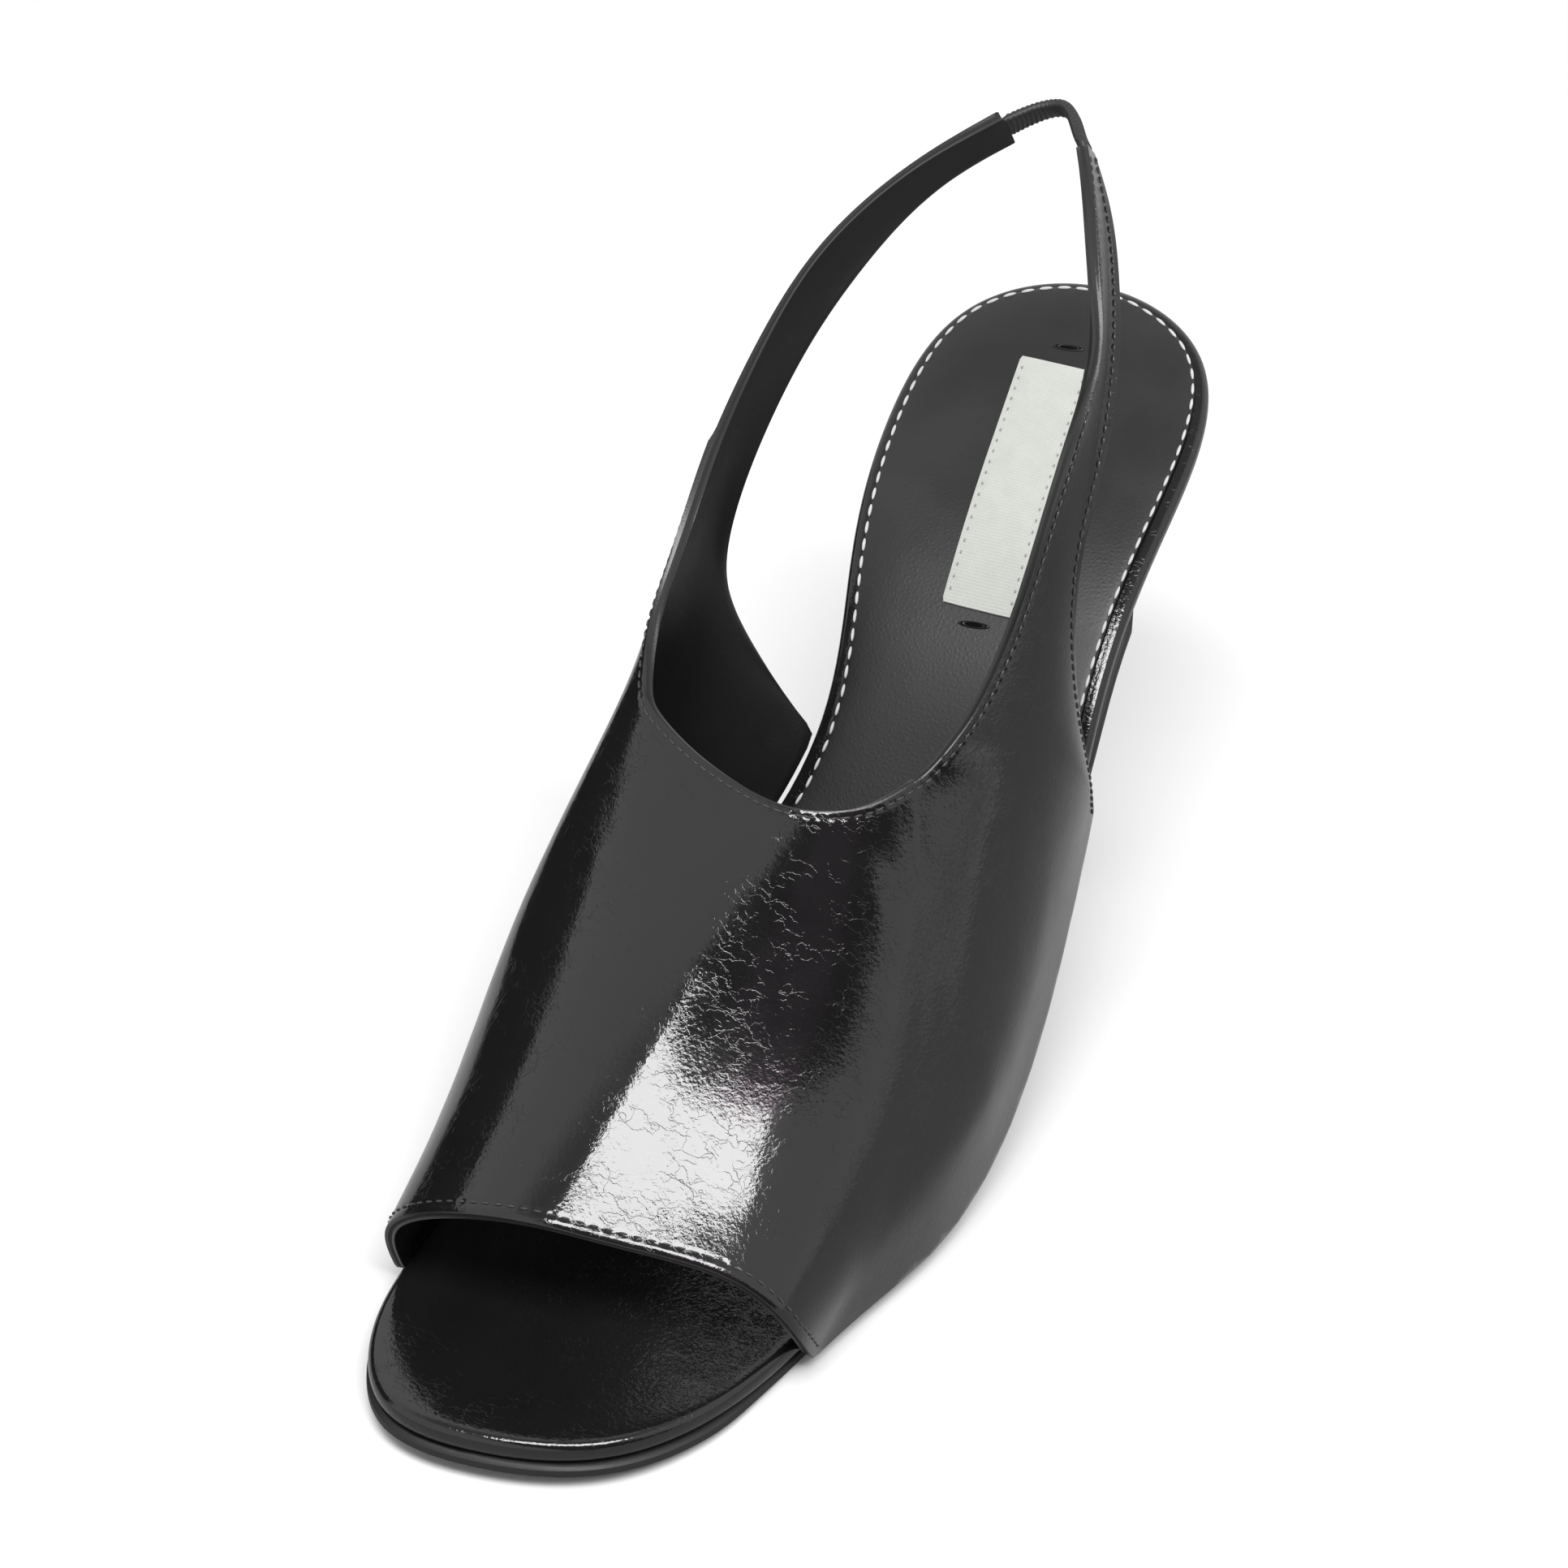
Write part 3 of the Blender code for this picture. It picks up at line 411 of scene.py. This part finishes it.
sock_inset = 0.0021
sock_pitch = 0.0033
sock_open_front = 0.004
pad_swell = 0.0004
pad_slope = 0.0042
seam_dip = 0.00025
seam_slope = 0.0011
nappa_dark = (0.010, 0.010, 0.0105)
nappa_light = (0.018, 0.018, 0.0188)
white_dark = (0.42, 0.42, 0.41)
white_light = (0.6, 0.6, 0.59)

# The seam follows the sock's upper edge, and stays open across the front, under the vamp.
sock = copy_node("sock", "sock_padded")
sock_sides = sorted(regions(sock, 50), key=lambda group: -len(group))
sock_top = max(sock_sides[:2], key=lambda group: sum(sock.data.polygons[i].normal.z for i in group))
sock_others = [i for group in sock_sides if group is not sock_top for i in group]
sock_edge, sock_inward = border(sock, sock_top, sock_others)
sock_seam = sock_edge + sock_inward * sock_inset
behind_front = sock_seam[:, 1] > sock_seam[:, 1].min() + sock_open_front
order = np.roll(np.arange(len(sock_seam)), -int(np.argmax(~behind_front)))
sock_row = sock_seam[order][behind_front[order]]

# The foam swells away from the stitches, which draw the cover down along their row.
crease_sharp(sock, 50, 0.5)
round_off(sock, 2)
places, normals = read_skin(sock)
row_line, _ = spread(sock_row, 0.0008)
far = np.linalg.norm(places[:, None] - row_line[None], axis=2).min(axis=1)
swell = pad_swell * (1.0 - np.exp(-((far / pad_slope) ** 2))) - seam_dip * np.exp(-((far / seam_slope) ** 2))
swell[normals[:, 2] < 0.2] = 0.0
sock.data.vertices.foreach_set("co", (places + normals * swell[:, None]).ravel())
sock.data.update()
sock.data.materials.append(smooth_leather("sock_nappa", nappa_dark, nappa_light, 0.4, 1150.0, 14e-6))
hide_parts("sock")
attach(sock, "root")

sock_skin = skin_of(sock)
white_stitch = model_stitch(length=0.0024, width=0.00055, rise=0.00035)
white_stitches = sew("sock_stitches", white_stitch, [spread(sock_row, sock_pitch)], sock_skin)
white_stitches.data.materials.append(twisted_thread("white_thread", white_dark, white_light))
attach(white_stitches, "root")


# Label: a bare strip of off-white woven ribbon. It is sewn down along both long edges, and its
# ends are tucked into slits in the sock; two small bound slits lie beyond its ends.
def woven_ribbon(name, dark, light):
    """Taffeta ribbon: fine threads over and under each other, with a soft, uneven tone."""
    material, tree, shader, place = begin_material(name)
    inputs = {"Vector": place, "Scale": 620.0, "Distortion": 0.4}
    warp = put_node(tree, "ShaderNodeTexWave", inputs, bands_direction="X").outputs["Fac"]
    weft = put_node(tree, "ShaderNodeTexWave", inputs, bands_direction="Y").outputs["Fac"]
    weave = maths(tree, "MULTIPLY", warp, weft)
    cloudy = maths(tree, "MULTIPLY", noise(tree, place, 300.0, 3.0), 0.6)
    tone = maths(tree, "ADD", cloudy, maths(tree, "MULTIPLY", weave, 0.5))
    tree.links.new(blend_colours(tree, tone, dark, light), shader.inputs["Base Color"])
    shader.inputs["Roughness"].default_value = 0.75
    shader.inputs["Sheen Weight"].default_value = 0.25
    raise_surface(tree, shader, maths(tree, "MULTIPLY", weave, 6e-5))
    return material


label_inset = 0.0009
label_pitch = 0.0022
label_clear_ends = 0.0015
ribbon_dark = (0.40, 0.41, 0.385)
ribbon_light = (0.52, 0.53, 0.50)
# The label's stitch colour, darker grey than the ribbon, is painted shade of the dents the needle leaves; the
# thread itself matches the ribbon.
needle_hole_shade_dark = (0.2, 0.21, 0.2)
needle_hole_shade_light = (0.34, 0.35, 0.33)

label = copy_node("label", "label_ribbon")
label_sides = sorted(regions(label, 50), key=lambda group: -sum(label.data.polygons[i].area for i in group))
label_top = max(label_sides[:2], key=lambda group: sum(label.data.polygons[i].normal.z for i in group))
label_rows = []
for side in label_sides[2:4]:
    points, inward = border(label, label_top, side)
    label_rows.append(spread(points + inward * label_inset, label_pitch, label_clear_ends, label_clear_ends))
crease_sharp(label, 50, 0.8)
round_off(label, 2)
label.data.materials.append(woven_ribbon("label_weave", ribbon_dark, ribbon_light))
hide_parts("label")
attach(label, "root")

# Grey stitches, darker than the ribbon: painted shade in their needle dents.
grey_stitch = model_stitch(length=0.0007, width=0.00035, rise=0.0002)
grey_stitches = sew("label_stitches", grey_stitch, label_rows, skin_of(label))
grey_stitches.data.materials.append(twisted_thread("label_thread_hole_shade", needle_hole_shade_dark, needle_hole_shade_light))
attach(grey_stitches, "root")


def matt_black_and_hole_shade(name, per_metre, dark, light):
    """A dead black finish with a slight unevenness, for a flag, and for painted shade inside a hole."""
    material, tree, shader, place = begin_material(name)
    tree.links.new(blend_colours(tree, noise(tree, place, per_metre), dark, light), shader.inputs["Base Color"])
    shader.inputs["Roughness"].default_value = 0.9
    shader.inputs["Specular IOR Level"].default_value = 0.1
    return material


slit_spots = (("slit_back", 0.0097, 0.0931), ("slit_front", 0.0123, 0.0424))
slit_size = (0.0022, 0.00048, 0.0005)
slit_way = Vector((0.993, 0.118, 0.0))
slit_rise = 0.00006
slit_rim = smooth_leather("slit_rim_leather", (0.006,) * 3, (0.014,) * 3, 0.4, 1500.0, 8e-6)
# Each slit's hole is a flat disc painted near black: painted shade standing for the depth of the slit.
slit_painted_shade = matt_black_and_hole_shade("slit_painted_shade", 800.0, (0.001,) * 3, (0.003,) * 3)
for name, x, y in slit_spots:
    hit, normal, _, _ = sock_skin.ray_cast(Vector((x, y, 0.2)), Vector((0.0, 0.0, -1.0)))
    bpy.ops.object.select_all(action="DESELECT")
    bpy.ops.mesh.primitive_torus_add(major_segments=32, minor_segments=10, major_radius=1.0, minor_radius=0.3)
    slit = bpy.context.object
    slit.name = name
    bpy.ops.object.mode_set(mode="EDIT")
    bpy.ops.mesh.select_all(action="DESELECT")
    bpy.ops.mesh.primitive_circle_add(vertices=32, radius=1.0, fill_type="NGON")
    bpy.ops.mesh.inset(thickness=0.3, depth=0.0)
    bpy.ops.mesh.select_all(action="SELECT")
    bpy.ops.transform.resize(value=slit_size, center_override=(0.0, 0.0, 0.0))
    bpy.ops.object.mode_set(mode="OBJECT")
    slit.data.materials.append(slit_rim)
    slit.data.materials.append(slit_painted_shade)
    # The flat faces inside the rim take the painted shade.
    for face in slit.data.polygons:
        face.material_index = 1 if abs(face.normal.z) > 0.999 else 0
    across = (slit_way - normal * slit_way.dot(normal)).normalized()
    turn = Matrix((across, normal.cross(across), normal)).transposed().to_4x4()
    turn.translation = hit + normal * slit_rise
    slit.data.transform(turn)
    only(slit)
    bpy.ops.object.shade_smooth()
    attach(slit, "root")


# Upper: one wall of crinkled patent over a dull nappa lining, cemented and sewn together round
# its cut edges. It is lasted under the vamp and runs back into the two straps.
strap_inset = 0.0012
wing_inset = 0.0013
toe_inset = 0.0021
strap_pitch = pucker_pitch
toe_pitch = 0.0023
seam_clear_ends = 0.0015
pucker_depth = 70e-6
cement_depth = 0.00022
lining_dark = (0.005, 0.005, 0.0053)
lining_light = (0.010, 0.010, 0.0105)
edge_dark = (0.009, 0.009, 0.0093)
edge_light = (0.022, 0.022, 0.023)
cement_dark = (0.004, 0.004, 0.004)
cement_light = (0.009, 0.009, 0.009)
thread_dark = (0.02, 0.02, 0.02)
thread_light = (0.06, 0.06, 0.06)

upper = copy_node("upper", "upper_leather")
upper.data.materials.append(patent_leather("upper_patent", seam=pucker_depth))
upper.data.materials.append(
    smooth_leather("lining_nappa", lining_dark, lining_light, 0.45, 1150.0, 12e-6, shine=0.25)
)
upper.data.materials.append(smooth_leather("cut_edge_leather", edge_dark, edge_light, 0.3, 1500.0, 8e-6))
upper.data.materials.append(smooth_leather("cement_line", cement_dark, cement_light, 0.7, 1500.0, 12e-6))
patent, nappa, cut, cement = range(4)


def area_of(group):
    """The area of a group of the upper's faces."""
    return sum(upper.data.polygons[i].area for i in group)


def middle(group):
    """The mean place of a group of the upper's faces."""
    return sum((upper.data.polygons[i].center for i in group), Vector()) / len(group)


def outlook(group):
    """The mean direction that a group of the upper's faces looks in."""
    total = sum((upper.data.polygons[i].normal * upper.data.polygons[i].area for i in group), Vector())
    return total.normalized()


# The two large sheets are the outside and the lining; the other groups are the cut edges.
upper_parts = sorted(regions(upper, 50), key=lambda group: -len(group))
outside, lining = sorted(upper_parts[:2], key=lambda group: -area_of(group))
cut_edges = upper_parts[2:]
for i in lining:
    upper.data.polygons[i].material_index = nappa
for group in cut_edges:
    for i in group:
        upper.data.polygons[i].material_index = cut
topline = cut_edges[0]
toe_edge = min(cut_edges, key=lambda group: middle(group).y)
wing_edges = [group for group in cut_edges[1:] if middle(group).y > 0.02 and len(group) > 15]

# Each strap's cut end: its place, the way it looks, and the way down across the strap.
strap_ends = [group for group in cut_edges if middle(group).z > 0.14 and group is not topline]
strap_ends.sort(key=lambda group: middle(group).x)
end_places = [middle(group) for group in strap_ends]
end_ways = [outlook(group) for group in strap_ends]
end_downs = []
for group in strap_ends:
    corners = np.array([upper.data.vertices[v].co[:] for i in group for v in upper.data.polygons[i].vertices])
    down = Vector(np.linalg.svd(corners - corners.mean(0))[2][0])
    end_downs.append(down if down.z < 0 else -down)

# Each stitched edge: its line, the way inwards, how far in its stitches lie, and their pitch.
seams = [
    (*border(upper, outside, topline), strap_inset, strap_pitch),
    (*border(upper, outside, toe_edge), toe_inset, toe_pitch),
]
for group in wing_edges:
    seams.append((*border(upper, outside, group), wing_inset, strap_pitch))


def pick_edges(piece, wanted):
    """Selects only those edges of a piece that the test wants."""
    only(piece)
    bpy.ops.object.mode_set(mode="EDIT")
    bpy.ops.mesh.select_all(action="DESELECT")
    bpy.ops.object.mode_set(mode="OBJECT")
    skin = bmesh.new()
    skin.from_mesh(piece.data)
    for edge in skin.edges:
        edge.select = wanted(edge)
    skin.to_mesh(piece.data)
    skin.free()


# The cut edge shows two layers with the cement line sunk between them.
pick_edges(upper, lambda edge: all(face.material_index == cut for face in edge.link_faces))
bpy.ops.object.mode_set(mode="EDIT")
bpy.ops.mesh.select_mode(type="EDGE")
bpy.ops.mesh.subdivide(number_cuts=2, quadcorner="INNERVERT")
bpy.ops.object.mode_set(mode="OBJECT")
skin = bmesh.new()
skin.from_mesh(upper.data)
sheet_corners = {corner.index for face in skin.faces if face.material_index != cut for corner in face.verts}
for face in skin.faces:
    sunk = face.material_index == cut and not any(corner.index in sheet_corners for corner in face.verts)
    face.select = sunk
    if sunk:
        face.material_index = cement
skin.to_mesh(upper.data)
skin.free()
bpy.ops.object.mode_set(mode="EDIT")
bpy.ops.mesh.select_mode(type="FACE")
bpy.ops.transform.shrink_fatten(value=-cement_depth)
bpy.ops.object.mode_set(mode="OBJECT")
crease_sharp(upper, 50, 0.45)
round_off(upper, 2)
places, normals = read_skin(upper)
is_outer = np.zeros(len(places), bool)
is_outer[[v for face in upper.data.polygons if face.material_index == patent for v in face.vertices]] = True


def press(start, end, width, depth):
    """The upper's points with a soft trough pressed into the outside between two places. It takes
    millimetres, as read off the shoe, and a depth below zero raises a ridge."""
    start = np.array(start) / 1000
    span = np.array(end) / 1000 - start
    shares = np.clip((places - start) @ span / (span @ span), 0.0, 1.0)
    far = np.linalg.norm(places - start - shares[:, None] * span, axis=1) / (width / 1000)
    fade = np.sin(math.pi * np.clip(shares, 0.08, 0.92)) ** 0.5
    push = depth / 1000 * fade * np.exp(-far * far) * is_outer
    return places - normals * push[:, None]


# Slack in the leather: a fold at each wing's root, ripples down both flanks and two over the vamp.
for start, end, width, depth in (
    ((15, -20, 76), (25, -23, 65), 3.2, 0.22),
    ((21, -12, 78), (30, -16, 66), 3.0, -0.12),
    ((30, -15, 63), (37, -32, 32), 3.4, 0.13),
    ((36, -4, 62), (42, -20, 28), 3.8, 0.12),
    ((38, 8, 60), (41, -4, 36), 3.0, -0.10),
    ((-35, -42, 43), (-28, -31, 59), 3.4, 0.13),
    ((-27, -17, 73), (-26, -27, 64), 3.0, 0.16),
    ((-38, -50, 30), (-40, -30, 34), 3.2, 0.12),
    ((-3, -45, 58), (8, -44, 57), 2.6, 0.06),
    ((4, -34, 66), (17, -36, 62), 3.0, 0.07),
):
    places = press(start, end, width, depth)

# The inner strap is lapped over the wing on a slant: the lap stands proud and thins out forwards.
lap_place = np.array((-0.0272, 0.0258, 0.1077))
lap_way = np.array((0.05, 0.62, 0.78))
lap_height = 0.00045
lap_bevel = 0.0006
lap_length = 0.03
past_lap = (places - lap_place) @ lap_way
lapped = is_outer & (places[:, 0] < -0.01) & (places[:, 2] > 0.07) & (past_lap < 0.0) & (past_lap > -lap_length)
proud = lap_height * np.minimum(-past_lap / lap_bevel, 1.0) * (1.0 + past_lap / lap_length) * lapped
places = places + normals * proud[:, None]
upper.data.vertices.foreach_set("co", places.ravel())
upper.data.update()

# How far every point lies from its row of stitches, and how far along it, for the puckers.
off_seam = upper.data.attributes.new("off_seam", "FLOAT", "POINT")
along_seam = upper.data.attributes.new("along_seam", "FLOAT", "POINT")
nowhere_near = 0.02
line_step = 0.0004
off = np.full(len(places), nowhere_near)
along = np.zeros(len(places))
for points, _, inset, pitch in seams:
    line, _ = spread(points, line_step)
    for part in np.array_split(np.arange(len(places)), 60):
        far = np.linalg.norm(places[part][:, None] - line[None], axis=2)
        from_row = far.min(axis=1) - inset
        closer = np.abs(from_row) < np.abs(off[part])
        off[part[closer]] = from_row[closer]
        along[part[closer]] = far.argmin(axis=1)[closer] * line_step * pucker_pitch / pitch
off_seam.data.foreach_set("value", off)
along_seam.data.foreach_set("value", along)
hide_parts("upper")
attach(upper, "root")

rows = []
for points, inward, inset, pitch in seams:
    rows.append(spread(points + inward * inset, pitch, seam_clear_ends, seam_clear_ends))
black_stitch = model_stitch(length=0.0014, width=0.00036, rise=0.00022)
black_stitches = sew("upper_stitches", black_stitch, rows, skin_of(upper), sink=0.2)
black_thread = twisted_thread("black_thread", thread_dark, thread_light, rough=0.28)
black_stitches.data.materials.append(black_thread)
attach(black_stitches, "root")


# Elastic: a narrow braided rubber tape that joins the straps behind the ankle. Its ends are
# pushed into the open ends of the straps and caught there by the edge stitches.
# The handles say, axis by axis, how far the tape leans out of each strap end before it turns.
inner_handle = Vector((0.015, 0.015, 0.009))
outer_handle = Vector((0.010, 0.010, 0.0015))
tape_gap = 0.0005
tape_tuck = 0.0025
tape_half_width = 0.0027
tape_half_thick = 0.0006
tape_free_thick = 0.0003
rib_pitch = 0.00085
rib_height = 0.11
rib_slant = 0.45
braid_dark = (0.008, 0.008, 0.0085)
braid_light = (0.03, 0.03, 0.031)

# The tape's middle line: a curve between the two strap ends, with a short run inside each.
inner, outer = end_places
from_inner, from_outer = end_ways
knots = [
    inner + from_inner * tape_gap,
    inner + from_inner * tape_gap + from_inner * inner_handle,
    outer + from_outer * tape_gap + from_outer * outer_handle,
    outer + from_outer * tape_gap,
]
path = [inner - from_inner * tape_tuck]
for t in np.linspace(0.0, 1.0, 41):
    weights = ((1 - t) ** 3, 3 * t * (1 - t) ** 2, 3 * t * t * (1 - t), t**3)
    path.append(sum((knot * float(weight) for knot, weight in zip(knots, weights)), Vector()))
path.append(outer - from_outer * tape_tuck)
path = np.array([point[:] for point in path])
lengths = np.r_[0.0, np.cumsum(np.linalg.norm(np.diff(path, axis=0), axis=1))]


def along_path(at):
    """The place on the tape's middle line at that length."""
    return Vector([np.interp(at, lengths, path[:, axis]) for axis in range(3)])


bpy.ops.object.select_all(action="DESELECT")
bpy.ops.mesh.primitive_cylinder_add(vertices=20, radius=1.0, depth=2.0)
elastic = bpy.context.object
elastic.name = "elastic_ribbed"
for _ in range(2):
    pick_edges(elastic, lambda edge: abs(edge.verts[0].co.z - edge.verts[1].co.z) > 1e-5)
    bpy.ops.object.mode_set(mode="EDIT")
    bpy.ops.mesh.select_mode(type="EDGE")
    bpy.ops.mesh.subdivide(number_cuts=15)
    bpy.ops.object.mode_set(mode="OBJECT")
for corner in elastic.data.vertices:
    share = (corner.co.z + 1) / 2
    at = share * lengths[-1]
    ahead = (along_path(at + 0.0008) - along_path(at - 0.0008)).normalized()
    down = end_downs[0] * (1 - share) + end_downs[1] * share
    down = (down - ahead * down.dot(ahead)).normalized()
    side = ahead.cross(down)
    across = math.copysign(abs(corner.co.x) ** 0.6, corner.co.x)
    thick = math.copysign(abs(corner.co.y) ** 0.6, corner.co.y)
    free = min(max((min(at, lengths[-1] - at) - 0.0022) / 0.001, 0.0), 1.0)
    rib = 1.0 + rib_height * free * math.sin(math.tau * (at / rib_pitch + rib_slant * abs(across)))
    half_width = tape_half_width * (0.96 + 0.04 * rib)
    half_thick = (tape_half_thick + tape_free_thick * free) * rib
    corner.co = along_path(at) + down * (across * half_width) + side * (thick * half_thick)
only(elastic)
bpy.ops.object.mode_set(mode="EDIT")
bpy.ops.mesh.select_all(action="SELECT")
bpy.ops.mesh.normals_make_consistent(inside=False)
bpy.ops.object.mode_set(mode="OBJECT")
bpy.ops.object.shade_smooth_by_angle(angle=math.radians(60))
elastic.data.materials.append(smooth_leather("elastic_braid", braid_dark, braid_light, 0.5, 2400.0, 20e-6))
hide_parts("elastic")
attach(elastic, "root")


# Heel: a slim moulded block covered in the same patent, flat at its breast, hollowed at the
# back and screwed up into the seat from inside.
heel = copy_node("heel", "heel_covered")
crease_sharp(heel, 50, 0.85)
round_off(heel, 2)
heel.data.materials.append(patent_leather("heel_patent", crease=0.5, grain=0.8, wave=0.6))
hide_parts("heel")
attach(heel, "root")


# Top piece: a hard black rubber tip, pinned up into the foot of the heel. Its flat-sided CAD
# shape is right as it is, so it only gets its rubber.
top_piece = nodes["top_piece"]
top_piece.data.materials.clear()
top_piece.data.materials.append(smooth_leather("tip_rubber", (0.01,) * 3, (0.02,) * 3, 0.55, 1800.0, 5e-6))


# Floor: a plain pale studio floor, painted matt. It is wide enough to fill the frame in every
# view that looks down on the shoe by some ten degrees or more.
floor_dark = (0.71, 0.71, 0.713)
floor_light = (0.73, 0.73, 0.733)
bpy.ops.object.select_all(action="DESELECT")
bpy.ops.mesh.primitive_plane_add(size=40.0, location=(0.0, 0.0, 0.0))
floor = bpy.context.object
floor.name = "floor"
floor_paint, tree, shader, place = begin_material("floor_paint")
tone = blend_colours(tree, noise(tree, place, 3.0), floor_dark, floor_light)
tree.links.new(tone, shader.inputs["Base Color"])
shader.inputs["Roughness"].default_value = 0.8
shader.inputs["Specular IOR Level"].default_value = 0.1
floor.data.materials.append(floor_paint)


# Light: one large soft box overhead towards the camera, white walls round the floor, a darker side where the
# camera stands. A grey board round the shoe, painted shade for the floor that lies in shade close to it, and a
# low black flag beside its inner side are seen only in its gloss, as in the photograph.
softbox_place = (0.45, -0.60, 1.46)
softbox_width = 1.3
softbox_depth = 0.5
softbox_watts = 36.0
board_rise = 0.0003
# The board's grey is painted shade: the floor close to the shoe, lying in shade, as the gloss shows it.
floor_shade_dark = (0.29, 0.29, 0.292)
floor_shade_light = (0.32, 0.32, 0.322)
flag_place = (-0.17, -0.015, 0.055)
flag_size = (0.11, 0.30, 1.0)

softbox_data = bpy.data.lights.new("softbox", "AREA")
softbox_data.shape = "RECTANGLE"
softbox_data.size = softbox_width
softbox_data.size_y = softbox_depth
softbox_data.energy = softbox_watts
softbox = bpy.data.objects.new("softbox", softbox_data)
bpy.context.scene.collection.objects.link(softbox)
softbox.location = softbox_place
softbox.visible_camera = False

# The grey board is painted shade: a sheet seen only in the gloss, darker than the floor, where the floor near
# the shoe lies in shade.
bpy.ops.object.select_all(action="DESELECT")
bpy.ops.mesh.primitive_plane_add(size=1.6, location=(0.0, 0.0, board_rise))
board = bpy.context.object
board.name = "grey_board"
bpy.ops.object.transform_apply(location=True, rotation=True, scale=True)
floor_shade_paint, tree, shader, place = begin_material("floor_shade_paint")
tone = blend_colours(tree, noise(tree, place, 3.0), floor_shade_dark, floor_shade_light)
tree.links.new(tone, shader.inputs["Base Color"])
shader.inputs["Roughness"].default_value = 0.9
shader.inputs["Specular IOR Level"].default_value = 0.1
board.data.materials.append(floor_shade_paint)
board.visible_camera = False
board.visible_diffuse = False
board.visible_shadow = False

bpy.ops.object.select_all(action="DESELECT")
bpy.ops.mesh.primitive_plane_add(size=1.0, location=flag_place, rotation=(0.0, math.pi / 2, 0.0))
flag = bpy.context.object
flag.name = "black_flag"
flag.scale = flag_size
bpy.ops.object.transform_apply(location=True, rotation=True, scale=True)
flag.data.materials.append(matt_black_and_hole_shade("flag_cloth", 200.0, (0.004,) * 3, (0.012,) * 3))
flag.visible_camera = False
flag.visible_diffuse = False
flag.visible_shadow = False

# The walls are white, but nearly black in front of the toe except towards the shoe's inner side,
# and dimmer overhead. A soft pink glow lies where the gloss shows it beside the bright patch.
front_way = (-0.05, -0.86, -0.50)
outer_way = (0.76, 0.44, 0.48)
glow_way = (0.474, -0.629, 0.616)
wall_white = (1.0, 1.0, 1.0)
glow_pink = (4.2, 2.9, 3.7)
world = bpy.data.worlds.new("studio")
bpy.context.scene.world = world
world.use_nodes = True
tree = world.node_tree
way = put_node(tree, "ShaderNodeTexCoord").outputs["Generated"]
backdrop = tree.nodes["Background"]


def facing(direction):
    """How far a line of sight turns towards that direction."""
    inputs = {0: way, 1: direction}
    return put_node(tree, "ShaderNodeVectorMath", inputs, operation="DOT_PRODUCT").outputs["Value"]


in_front = between(tree, facing(front_way), -0.015, 0.015)
not_inner = between(tree, facing(outer_way), -0.04, 0.04)
dark_wall = maths(tree, "MULTIPLY", maths(tree, "MULTIPLY", in_front, not_inner), 0.97)
overhead = maths(tree, "MULTIPLY", between(tree, facing((0.0, 0.0, 1.0)), 0.80, 0.95), 0.6)
brightness = maths(tree, "SUBTRACT", 1.0, dark_wall)
brightness = maths(tree, "MULTIPLY", brightness, maths(tree, "SUBTRACT", 1.0, overhead))
glow = between(tree, facing(glow_way), 0.955, 0.98)
tree.links.new(brightness, backdrop.inputs["Strength"])
tree.links.new(blend_colours(tree, glow, wall_white, glow_pink), backdrop.inputs["Color"])


# Camera: a long lens at the photograph's angle, turned from its middle towards the one shoe. The
# turn is counted in the photograph's pixels, at the focal length that was worked out for it.
photo_focal = 4810
turn_right = 252
turn_up = -71
photo_ahead = Vector((-0.358, 0.705, -0.612))
photo_right = Vector((0.8915, 0.4531, 0.0))
photo_up = Vector((-0.277, 0.546, 0.791))
camera_data = bpy.data.cameras.new("camera")
camera_data.sensor_width = 36.0
camera_data.lens = 98.0
camera = bpy.data.objects.new("camera", camera_data)
bpy.context.scene.collection.objects.link(camera)
camera.location = (0.2114, -0.5068, 0.4990)
ahead = photo_ahead * photo_focal + photo_right * turn_right + photo_up * turn_up
camera.rotation_euler = ahead.to_track_quat("-Z", "Y").to_euler()
bpy.context.scene.camera = camera
bpy.context.scene.view_settings.view_transform = "Standard"
